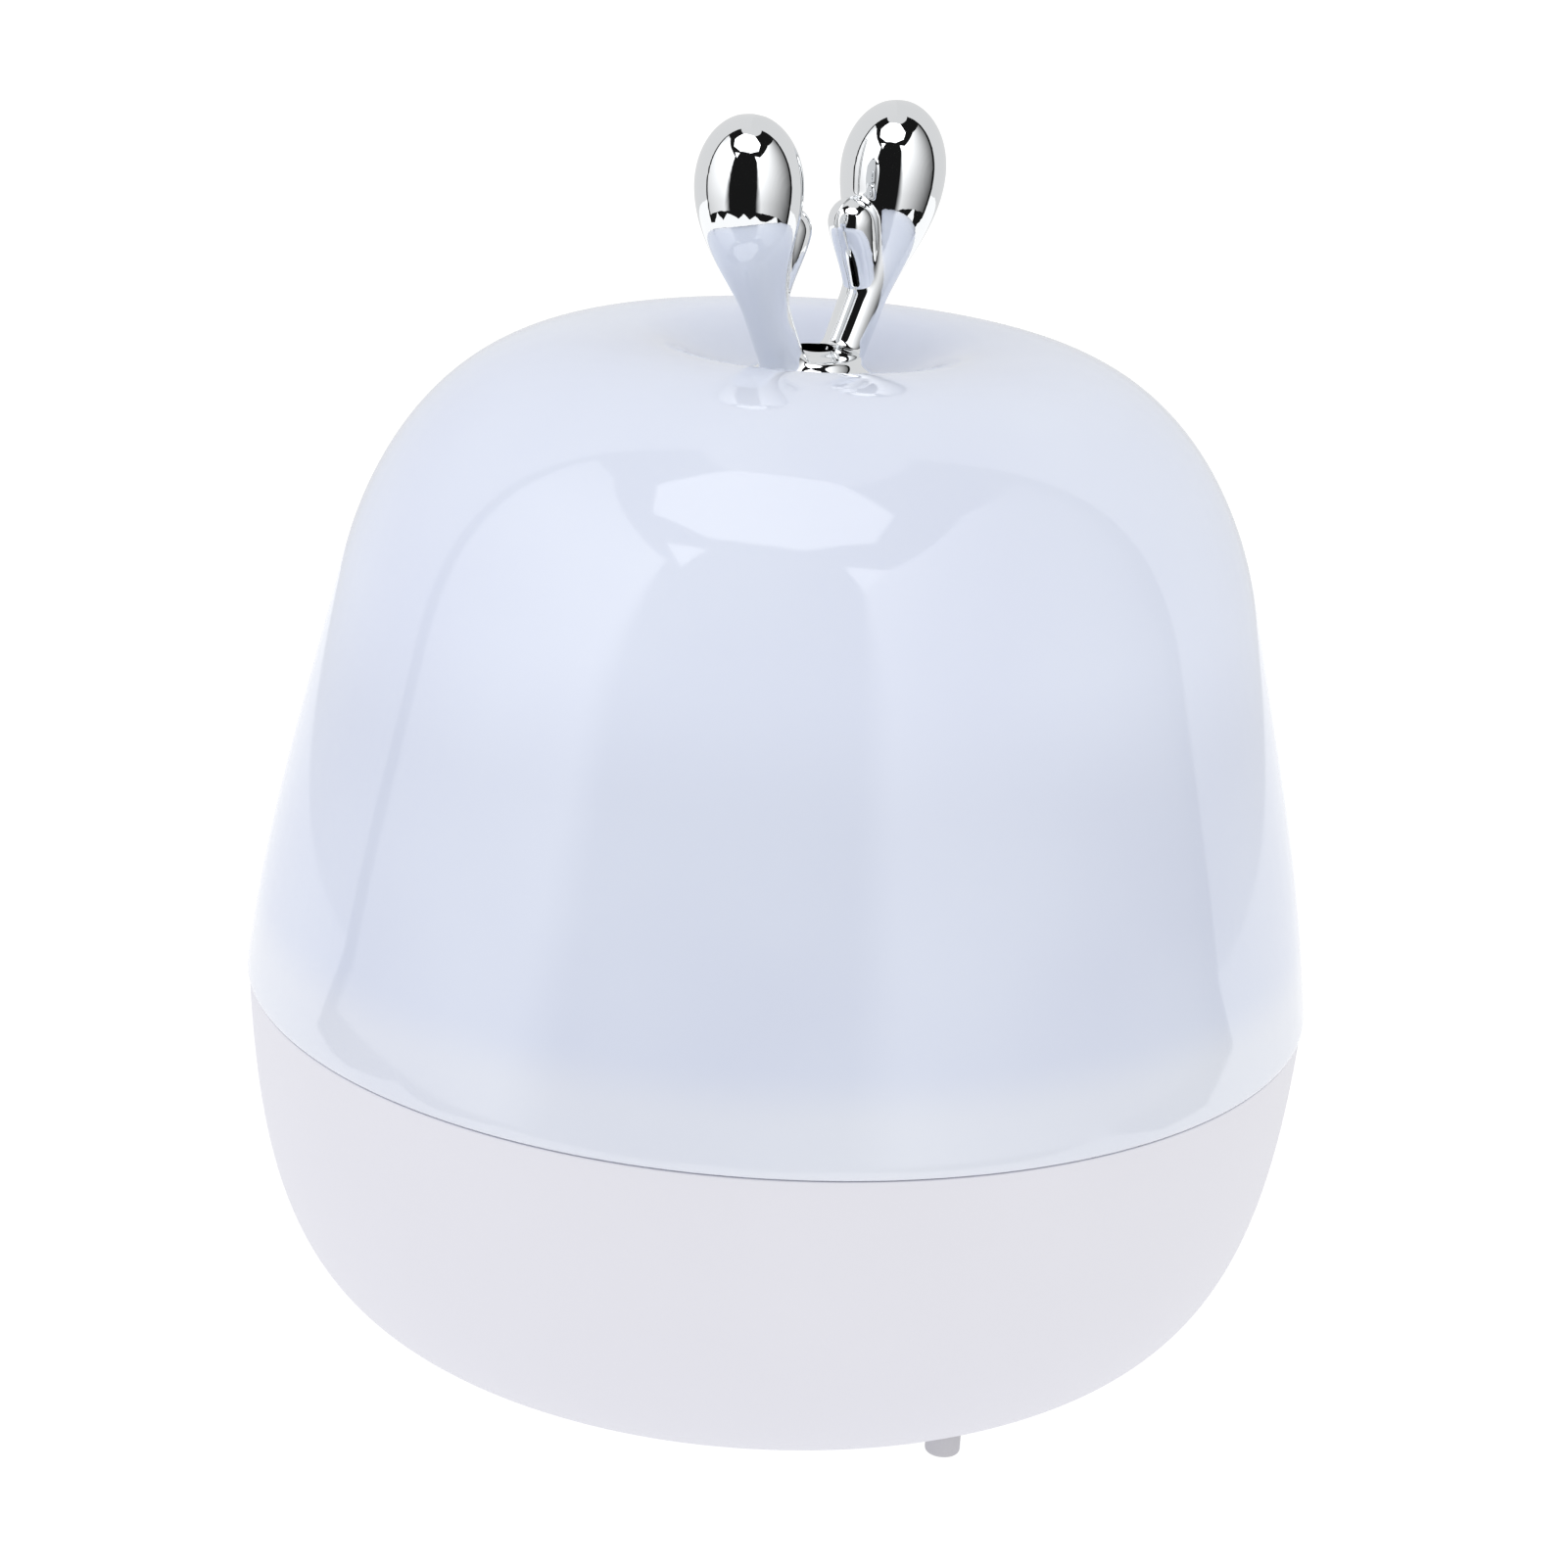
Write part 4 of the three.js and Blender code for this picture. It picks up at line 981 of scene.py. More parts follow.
@dataclass
class Shell:
    """The outside of the body: the bowl's and the dome's outlines, which share the seam."""

    radius: float = 55.0
    underside_radius: float = 34.3
    crown_radius: float = 19.7
    dip_depth: float = 3.95
    dip_bias: float = 1.4
    seat_radius: float = 6.9
    dome_wall: float = 2.6
    bowl_wall: float = 2.4
    frame_gap: float = 0.4
    line_gap: float = 0.08
    overhang: float = 0.3
    lip_wall: float = 1.4
    lip_outer: float = 53.1
    dome_edge: float = 1.1
    bowl_edge: float = 0.3
    # Handles of the outline's curves, as shares of the radius and height that each curve spans.
    bowl_leave: float = 0.77
    bowl_arrive: tuple[float, float] = (-0.03, -0.54)
    knee: tuple[float, float] = (0.841, 0.629)
    flank_leave: tuple[float, float] = (-0.028, 0.23)
    flank_arrive: tuple[float, float] = (0.061, -0.258)
    shoulder_leave: tuple[float, float] = (-0.05, 0.213)
    shoulder_arrive: float = 0.55
    flank_steps: int = 48
    shoulder_steps: int = 56
    dip_steps: int = 48

    def __post_init__(self) -> None:
        """Reads the heights from the frame."""
        bowl_low, bowl_high = node_span("bowl_shell")
        dome_low, dome_high = node_span("dome_shell")
        self.underside = bowl_low.z
        self.seam = bowl_high.z + self.frame_gap / 2
        self.crown = dome_high.z
        self.lip_bottom = dome_low.z
        self.seat = self.crown - self.dip_depth
        self.bowl_top = self.seam - self.line_gap / 2
        self.dome_foot = self.seam + self.line_gap / 2

    def bowl_side(self) -> Outline:
        """Gives the bowl's side, from the edge of its flat underside up to the seam.

        Returns:
            The side, as radius and height of each point.
        """
        depth = self.seam - self.underside
        return curve(
            Vector((self.underside_radius, self.underside)),
            Vector((self.bowl_leave * (self.radius - self.underside_radius), 0)),
            Vector(self.bowl_arrive) * depth,
            Vector((self.radius - self.overhang, self.bowl_top)),
            self.flank_steps,
        )

    def dome_side(self) -> Outline:
        """Gives the dome from its foot over the shoulder, and down into the dip to its seat.

        Returns:
            The dome's outside, as radius and height of each point.
        """
        rise = self.crown - self.seam
        knee = Vector((self.knee[0] * self.radius, self.seam + self.knee[1] * rise))
        crown = Vector((self.crown_radius, self.crown))
        foot = Vector((self.radius, self.dome_foot))
        leave, arrive = Vector(self.flank_leave) * rise, Vector(self.flank_arrive) * rise
        flank = curve(foot, leave, arrive, knee, self.flank_steps)
        leave = Vector(self.shoulder_leave) * rise
        arrive = Vector((self.shoulder_arrive * (knee.x - crown.x), 0))
        shoulder = curve(knee, leave, arrive, crown, self.shoulder_steps)
        dip = []
        for i in range(1, self.dip_steps + 1):
            share = i / self.dip_steps
            radius = self.crown_radius + (self.seat_radius - self.crown_radius) * share
            fall = (1 - math.cos(math.pi * share**self.dip_bias)) / 2
            dip.append((radius, self.crown - self.dip_depth * fall))
        return flank + shoulder[1:] + dip


@dataclass
class Dome:
    """The opal dome, with its nut and its mist sleeve."""

    shell: Shell
    spout_radius: float = 4.0
    sleeve_wall: float = 1.0
    foot_inset: float = 0.05
    step_height: float = 1.4
    plain_foot: float = 3.0
    chamfer: float = 0.3

    def __post_init__(self) -> None:
        """Works out the hole that the spout passes through."""
        self.hole = self.spout_radius + GAP

    def build(self) -> Thing:
        """Makes the dome as one turned shell with a rounded foot and an inner lip.

        Returns:
            The dome.
        """
        s = self.shell
        side = s.dome_side()
        edge_top = s.dome_foot + s.dome_edge
        outside = [(r, z) for r, z in side if z > edge_top or r < s.radius / 2]
        edge = rounded(
            [
                (s.lip_outer, s.dome_foot, 0.0),
                (s.radius - self.foot_inset, s.dome_foot, 0.9 * s.dome_edge),
                (radius_at(side, edge_top), edge_top, 0),
            ],
            closed=False,
        )
        inside = [
            (r, z)
            for r, z in offset(side, s.dome_wall)
            if z > s.dome_foot + self.plain_foot and r > s.seat_radius
        ]
        lip_inner = s.lip_outer - s.lip_wall
        outline = [
            *edge,
            *outside,
            (self.hole, s.seat),
            (self.hole, s.seat - s.dome_wall),
            *reversed(inside),
            (lip_inner, s.dome_foot + self.step_height),
            (lip_inner, s.lip_bottom + self.chamfer),
            (lip_inner + self.chamfer, s.lip_bottom),
            (s.lip_outer - self.chamfer, s.lip_bottom),
            (s.lip_outer, s.lip_bottom + self.chamfer),
        ]
        return turned("opal_dome", outline, closed=True, segments=Segments.LARGE)

    def build_nut(self) -> Thing:
        """Makes the hexagonal nut with a round bore and broken corners.

        Returns:
            The nut.
        """
        low, high = node_span("antler_nut")
        corners = around(6)
        body = bmesh.new()
        rows = [
            [body.verts.new(Vector((high.x * c, high.x * s, z)) * MM) for c, s in corners]
            for z in (low.z, high.z)
        ]
        join_rings(body, rows[0], rows[1], len(corners))
        for row in rows:
            body.faces.new(row)
        bevel_edges(body, body.edges, self.chamfer)
        nut = finish_mesh("spout_nut", body)
        bore = disc("bore", self.hole, low.z - THROUGH, high.z + THROUGH, 0.0)
        return cut(nut, [bore])

    def build_sleeve(self) -> Thing:
        """Makes the soft sleeve that leads the mist up into the spout.

        Returns:
            The sleeve.
        """
        low, high = node_span("mist_sleeve")
        inner, outer = self.hole, self.hole + self.sleeve_wall
        flare = high.x - outer
        corners = [
            (inner + flare, low.z, 0.3),
            (outer + flare, low.z, 0.3),
            (outer, low.z + 2 * flare, 1.0),
            (outer, high.z, 0.3),
            (inner, high.z, 0.3),
            (inner, low.z + 2 * flare, 1.0),
        ]
        return turned("sleeve", rounded(corners), closed=True)

    def dress(self) -> None:
        """Builds and dresses the dome, its nut and its sleeve."""
        dress(self.build(), OPAL_DOME, "dome", ["dome_shell"])
        dress(self.build_nut(), SATIN_ABS, "dome", ["antler_nut"])
        dress(self.build_sleeve(), SILICONE, "dome", ["mist_sleeve"])


@dataclass
class Limb:
    """A limb of the antlers: a round section that swells along a path and closes as an egg."""

    path: Outline
    root_radius: float
    end_radius: float
    cap: float
    taper: float

    def __post_init__(self) -> None:
        """Measures the path."""
        self.points = [Vector(p) for p in self.path]
        self.length = sum((b - a).length for a, b in zip(self.points, self.points[1:]))

    def radius(self, run: float) -> float:
        """Gives the section's radius at a distance along the path.

        Args:
            run: The distance from the root.

        Returns:
            The radius.
        """
        widest = self.length - self.cap
        if run > widest:
            return self.end_radius * math.sqrt(max(1 - ((run - widest) / self.cap) ** 2, 0))
        share = min(max(1 - (widest - run) / self.taper, 0), 1)
        swell = (1 - math.cos(math.pi * share)) / 2
        return self.root_radius + (self.end_radius - self.root_radius) * swell

    def along(self, i: int) -> Vector:
        """Gives the path's direction at one of its points."""
        last = len(self.points) - 1
        return (self.points[min(i + 1, last)] - self.points[max(i - 1, 0)]).normalized()

    def edge(self, side: int) -> Outline:
        """Gives the limb's outline on one side of its path.

        Args:
            side: 1 for the path's left, -1 for its right.

        Returns:
            The outline, as x and z of each point.
        """
        step = self.length / (len(self.points) - 1)
        result = []
        for i, centre in enumerate(self.points):
            ahead = self.along(i)
            away = self.radius(i * step) * side
            result.append((centre.x - ahead.y * away, centre.y + ahead.x * away))
        return result

    def build(self, name: str) -> Thing:
        """Makes the limb's mesh.

        Args:
            name: The piece's name.

        Returns:
            The limb.
        """
        step = self.length / (len(self.points) - 1)
        turns = around(64)
        body = bmesh.new()
        rings = []
        for i, centre in enumerate(self.points):
            ahead, radius = self.along(i), self.radius(i * step)
            if radius < 1e-4:
                rings.append([body.verts.new((centre.x * MM, 0, centre.y * MM))])
                continue
            circle = []
            for c, s in turns:
                out, across = radius * c, radius * s
                spot = (centre.x + out * ahead.y, across, centre.y - out * ahead.x)
                circle.append(body.verts.new(Vector(spot) * MM))
            rings.append(circle)
        body.faces.new(rings[0])
        for low, high in zip(rings, rings[1:]):
            join_rings(body, low, high, len(turns))
        return finish_mesh(name, body)


@dataclass
class Antlers:
    """The plated antlers: two mirrored limbs on one flared foot, over a hollow stem."""

    shell: Shell
    root: float = 3.9
    stand: float = 0.9
    leave: tuple[float, float] = (6.3, 10.8)
    arrive: tuple[float, float] = (0.5, -9.6)
    spread: float = 10.9
    height: float = 25.8
    stem_radius: float = 2.3
    bulb_radius: float = 5.3
    bulb_cap: float = 7.0
    taper: float = 13.8
    tine_start: float = 0.28
    tine_tip: tuple[float, float] = (4.2, 80.3)
    tine_radius: float = 2.0
    knob_radius: float = 2.5
    flare_foot: float = 6.4
    flare_top: float = 5.0
    flare_height: float = 2.1
    foot_gap: float = 0.3
    foot_edge: float = 0.4
    bore: float = 2.2
    spout_radius: float = 4.0
    spout_drop: float = 10.0
    boss_radius: float = 3.4
    boss_height: float = 0.7
    voxel: float = 0.15
    melt: int = 22
    pool: int = 140
    pool_height: float = 5.0
    bead: float = 0.13

    def main_limb(self) -> Limb:
        """Gives the right antler without its tine.

        Returns:
            The limb.
        """
        root = Vector((self.root, self.shell.seat + self.stand))
        tip = Vector((self.spread, root.y + self.height))
        fine = curve(root, Vector(self.leave), Vector(self.arrive), tip, 400)
        return Limb(even(fine, 120), self.stem_radius, self.bulb_radius, self.bulb_cap, self.taper)

    def tine(self, main: Limb) -> Limb:
        """Gives the short inner tine that leaves the right antler.

        Args:
            main: The right antler.

        Returns:
            The tine.
        """
        start = main.points[round(self.tine_start * (len(main.points) - 1))]
        tip = Vector((self.tine_tip[0], self.shell.seam + self.tine_tip[1]))
        steps = 60
        path = [tuple(start.lerp(tip, i / steps)) for i in range(steps + 1)]
        reach = (tip - start).length
        return Limb(path, self.tine_radius, self.knob_radius, self.knob_radius, 0.6 * reach)

    def foot(self) -> Thing:
        """Makes the flared foot with the hollow stem's outside.

        Returns:
            The foot, which is still solid.
        """
        base = self.shell.seat + self.foot_gap
        spread, climb = self.flare_foot - self.flare_top, self.flare_height - self.foot_edge
        steps = 16
        flare = []
        for i in range(steps + 1):
            turn = math.pi / 2 * i / steps
            radius = self.flare_foot - spread * math.sin(turn)
            flare.append((radius, base + self.foot_edge + climb * (1 - math.cos(turn))))
        outline = [
            (0, base - self.spout_drop),
            (self.spout_radius, base - self.spout_drop),
            (self.spout_radius, base),
            (self.flare_foot, base),
            *flare,
            *self.boss(base + self.flare_height),
        ]
        return turned("foot", outline)

    def boss(self, base: float) -> Outline:
        """Gives the low mound that fills the notch between the stems.

        Args:
            base: Height of its edge.

        Returns:
            Its outline, from the edge to the top.
        """
        steps = 12
        turns = [math.pi / 2 * i / steps for i in range(steps + 1)]
        return [
            (self.boss_radius * math.cos(t), base + self.boss_height * math.sin(t)) for t in turns
        ]

    def seam_lines(self, main: Limb, tine: Limb) -> list[Thing]:
        """Makes the fine parting line that the mould leaves down the inner side of both antlers.

        Args:
            main: The right antler.
            tine: Its tine.

        Returns:
            One thin wire for each line.
        """
        low = self.shell.seat + self.foot_gap + self.flare_height
        high = main.points[-1].y - 0.5 * self.bulb_cap
        wires = []
        for line in (main.edge(1), tine.edge(1) + list(reversed(tine.edge(-1)))):
            for mirror in (1, -1):
                points = [(mirror * x, 0.0, z) for x, z in line if low < z < high]
                wires.append(tube("line", points, self.bead, sides=2))
        return wires

    def melt_foot(self, antlers: Thing) -> None:
        """Lets the stems flow into the foot by smoothing the skin harder the lower it lies.

        Args:
            antlers: The joined skin.
        """
        low = self.shell.seat + self.stand
        high = low + self.pool_height
        group = antlers.vertex_groups.new(name="pool")
        for vert in antlers.data.vertices:
            height = vert.co.z / MM
            if low < height < high:
                group.add([vert.index], (high - height) / (high - low), "REPLACE")
        pool = antlers.modifiers.new("pool", "SMOOTH")
        pool.factor = 0.5
        pool.iterations = self.pool
        pool.vertex_group = "pool"
        apply_modifiers(antlers)

    def build(self) -> Thing:
        """Joins limbs, tines and foot into one skin and melts their meeting lines together.

        Returns:
            The antlers.
        """
        main = self.main_limb()
        tine = self.tine(main)
        antlers = cut(main.build("chrome_antlers"), [tine.build("tine")], "UNION")
        mirrored = antlers.data.copy()
        mirrored.transform(Matrix.Scale(-1, 4, (1, 0, 0)))
        mirrored.flip_normals()
        left = bpy.data.objects.new("left", mirrored)
        bpy.context.scene.collection.objects.link(left)
        cut(antlers, [left, self.foot()], "UNION")
        skin = antlers.modifiers.new("skin", "REMESH")
        skin.mode = "VOXEL"
        skin.voxel_size = self.voxel * MM
        melt = antlers.modifiers.new("melt", "SMOOTH")
        melt.factor = 0.5
        melt.iterations = self.melt
        apply_modifiers(antlers)
        self.melt_foot(antlers)
        # The smoothed skin hangs a hair low: it is trimmed flat under the foot and round the stem.
        below = self.shell.seat + 0.28
        trim = ring("trim", self.spout_radius + 0.01, 30, below - 8, below, 0.0)
        bore = disc("bore", self.bore, 20, self.shell.seat + 7, 0.0, segments=Segments.MEDIUM)
        cut(antlers, [trim, bore])
        merge(antlers, self.seam_lines(main, tine))
        return crisp(antlers, 60)

    def dress(self) -> None:
        """Builds and dresses the antlers."""
        dress(self.build(), CHROME_PLATE, "dome", ["antlers"])


@dataclass
class Bowl:
    """The matt bowl with its rear openings, its bottom plate, screws and peg feet."""

    shell: Shell
    feet: int = 3
    screws: int = 3
    foot_socket: float = 2.05
    inlet_margin: float = 1.6
    button_hole: float = 8.6
    deck_rise: float = 5.5
    ledge_width: float = 2.0
    ledge_depth: float = 1.5
    flange_width: float = 3.0
    flange_height: float = 1.7
    hole_edge: float = 0.25

    def build_shell(self) -> Thing:
        """Makes the bowl with its rim, its deck ledge and the ring above the bottom plate.

        Returns:
            The bowl, with its sockets and its rear openings cut.
        """
        s = self.shell
        side = s.bowl_side()
        inside = offset(side, s.bowl_wall)
        top = s.bowl_top
        rim_inner, rim_floor = s.lip_outer + GAP, s.lip_bottom - GAP
        deck_seat = node_span("deck")[1].z - self.deck_rise - GAP
        ledge_foot = deck_seat - self.ledge_depth
        plate = node_span("bottom_plate")[1]
        hole, flange = plate.x + GAP, plate.z + GAP
        flange_inner, flange_top = plate.x - self.flange_width - GAP, flange + self.flange_height
        seat_radius = radius_at(inside, deck_seat)
        lower = [(r, z) for r, z in reversed(inside) if flange_top < z < ledge_foot]
        mouth = [
            (hole, flange, 0),
            (hole, s.underside, self.hole_edge),
            (hole + 6 * self.hole_edge, s.underside, 0),
        ]
        rim = [
            (radius_at(side, top - s.bowl_edge), top - s.bowl_edge, 0),
            (s.radius - s.overhang, top, s.bowl_edge),
            (rim_inner, top, 0.0),
            (rim_inner, rim_floor, 0),
        ]
        outline = [
            *rounded(mouth, closed=False),
            *[(r, z) for r, z in side if z < top - s.bowl_edge],
            *rounded(rim, closed=False),
            *[(r, z) for r, z in reversed(inside) if deck_seat < z < rim_floor],
            (seat_radius, deck_seat),
            (seat_radius - self.ledge_width, deck_seat),
            (seat_radius - self.ledge_width, ledge_foot),
            *lower,
            (flange_inner, flange_top),
            (flange_inner, flange),
        ]
        bowl = turned("matt_bowl", outline, closed=True, segments=Segments.LARGE)
        return cut(bowl, self.openings())

    def openings(self) -> list[Thing]:
        """Makes the tools that cut the foot sockets, the inlet's opening and the button's hole.

        Returns:
            One tool for each cut.
        """
        tools = []
        for node in numbered("foot", self.feet):
            top = node_span(node)[1].z + GAP
            tools.append(disc("socket", self.foot_socket, -THROUGH, top, 0.0, node_spot(node)))
        outside = self.shell.radius + 5 * THROUGH
        low, high = node_span("power_inlet")
        middle = node_middle("power_inlet")
        margin = 2 * self.inlet_margin
        width, height = high.x - low.x + margin, high.z - low.z + margin
        tools.append(bar("inlet", width, height, (high.y - 2, outside), (middle.x, middle.z)))
        start = node_span("button_switch")[1].y
        middle = node_middle("button_switch")
        size = self.button_hole
        tools.append(bar("hole", size, size, (start, outside), (middle.x, middle.z)))
        return tools

    def build_plate(self) -> Thing:
        """Makes the bottom plate with its sunk screw holes, a grooved ring and a blank panel.

        Returns:
            The plate.
        """
        low, high = node_span("bottom_plate")
        radius, z = high.x, low.z
        groove_inner, groove_outer, slant, depth, edge = 12.0, 13.5, 0.3, 0.4, 0.1
        corners = [
            (0, z, 0),
            (groove_inner, z, edge),
            (groove_inner + slant, z + depth, edge),
            (groove_outer - slant, z + depth, edge),
            (groove_outer, z, edge),
            (radius, z, 0.3),
            (radius, high.z, 0.2),
            (0, high.z, 0),
        ]
        plate = turned("bottom_cover", rounded(corners, closed=False), segments=Segments.LARGE)
        tools = [block("panel", (-7.5, -4.5, z - THROUGH), (7.5, 4.5, z + 0.15), 0.0)]
        for node in numbered("bottom_screw", self.screws):
            spot = node_spot(node)
            tools.append(disc("sink", 3.0, z - THROUGH, z + 1.8, 0.0, spot))
            tools.append(disc("pass", 1.6, z + 1, high.z + THROUGH, 0.0, spot))
        return cut(plate, tools)

    def build_screw(self, node: str) -> Thing:
        """Makes one screw: a low domed head with a cross recess, on a pointed shank.

        Args:
            node: The screw's frame node.

        Returns:
            The screw.
        """
        low, high = node_span(node)
        spot = node_spot(node)
        head, shank = 2.7, 1.3
        corners = [
            (0, low.z, 0),
            (head * 0.7, low.z, 0.8),
            (head, low.z + 0.5, 0.3),
            (head, low.z + 1.2, 0),
            (shank, low.z + 1.2, 0.1),
            (shank, high.z - shank, 0.1),
            (0, high.z, 0),
        ]
        outline = rounded(corners, closed=False)
        screw = turned(f"cover_{node}", outline, segments=Segments.SMALL, centre=spot)
        reach, half, top = 1.7, 0.35, low.z + 0.7
        tools = []
        for x, y in ((reach, half), (half, reach)):
            tool = block("recess", (-x, -y, low.z - THROUGH), (x, y, top), 0.0)
            tool.data.transform(outward(spot))
            tools.append(tool)
        return cut(screw, tools)

    def build_foot(self, node: str) -> Thing:
        """Makes one peg foot with a softly rounded sole.

        Args:
            node: The foot's frame node.

        Returns:
            The foot.
        """
        low, high = node_span(node)
        radius = (high.x - low.x) / 2
        return disc(f"peg_{node}", radius, low.z, high.z, 0.45, node_spot(node))

    def dress(self) -> None:
        """Builds and dresses the bowl, its plate, its screws and its feet."""
        dress(self.build_shell(), MATT_ABS, "base", ["bowl_shell"])
        dress(self.build_plate(), MATT_ABS, "base", ["bottom_plate"])
        for node in numbered("bottom_screw", self.screws):
            dress(self.build_screw(node), ZINC_STEEL, "base", [node])
        for node in numbered("foot", self.feet):
            dress(self.build_foot(node), FOOT_RUBBER, "base", [node])


@dataclass
class Controls:
    """The power inlet and the button at the rear, with the board that carries them."""

    shell: Shell
    button_radius: float = 4.0
    flange: float = 0.8
    flange_thickness: float = 1.0
    proud: float = 0.9
    button_edge: float = 0.35
    inlet_wall: float = 0.35
    back_wall: float = 1.0
    contacts: int = 12
    contact_pitch: float = 0.5

    def build_inlet(self) -> Thing:
        """Makes the steel can of the inlet with its hollow mouth.

        Returns:
            The can.
        """
        low, high = node_span("power_inlet")
        middle = node_middle("power_inlet")
        width, height = high.x - low.x, high.z - low.z
        spot = (middle.x, middle.z)
        can = bar("inlet_can", width, height, (low.y, high.y), spot, rounding=0.12)
        wall = 2 * self.inlet_wall
        ends = (low.y + self.back_wall, high.y + THROUGH)
        return cut(can, [bar("mouth", width - wall, height - wall, ends, spot)])

    def build_tongue(self) -> Thing:
        """Makes the black tongue inside the inlet."""
        low, high = node_span("power_inlet")
        middle = node_middle("power_inlet")
        return block(
            "inlet_tongue",
            (low.x + 1.2, low.y + 1.05, middle.z - 0.35),
            (high.x - 1.2, high.y - 0.8, middle.z + 0.35),
            0.08,
        )

    def build_contacts(self) -> list[Thing]:
        """Makes the row of gold contacts on both faces of the tongue.

        Returns:
            One strip for each contact.
        """
        low, high = node_span("power_inlet")
        middle = node_middle("power_inlet")
        strips = []
        for i in range(self.contacts):
            x = middle.x + (i - (self.contacts - 1) / 2) * self.contact_pitch
            strips.append(
                block(
                    "inlet_contacts",
                    (x - 0.13, low.y + 1.6, middle.z - 0.39),
                    (x + 0.13, high.y - 1.2, middle.z + 0.39),
                    0.02,
                )
            )
        return strips

    def build_button(self) -> Thing:
        """Makes the button: a round stem whose face follows the bowl, with a flange behind.

        Returns:
            The button.
        """
        low, high = node_span("button_cap")
        middle = node_middle("button_cap")
        spot = (middle.x, middle.z)
        size = 2 * self.button_radius
        button = bar("button", size, size, (low.y, high.y + 3), spot)
        reach = offset(self.shell.bowl_side(), -self.proud)
        limit = turned(
            "limit",
            [(0, reach[0][1]), *reach, (0, reach[-1][1])],
            segments=Segments.LARGE,
        )
        cut(button, [limit], "INTERSECT")
        wide = size + 2 * self.flange
        collar = bar("flange", wide, wide, (low.y, low.y + self.flange_thickness), spot, 0.15)
        cut(button, [collar], "UNION")
        bevel = button.modifiers.new("edge", "BEVEL")
        bevel.width = self.button_edge * MM
        bevel.segments = 3
        bevel.limit_method = "ANGLE"
        bevel.angle_limit = math.radians(50)
        apply_modifiers(button)
        return crisp(button, 40)

    def dress(self) -> None:
        """Builds and dresses the inlet, the button, the switch and the upright board."""
        dress(self.build_inlet(), ZINC_STEEL, "base", ["power_inlet"])
        dress(self.build_tongue(), BLACK_NYLON, "base")
        first, *rest = self.build_contacts()
        dress(merge(first, rest), GOLD_FLASH, "base")
        dress(self.build_button(), MATT_ABS, "button", ["button_cap"])
        keep("button_switch", BLACK_NYLON)
        keep("main_board", SOLDER_MASK, 0.05)
        for node in numbered("board_screw", 2):
            keep(node, ZINC_STEEL, 0.1)


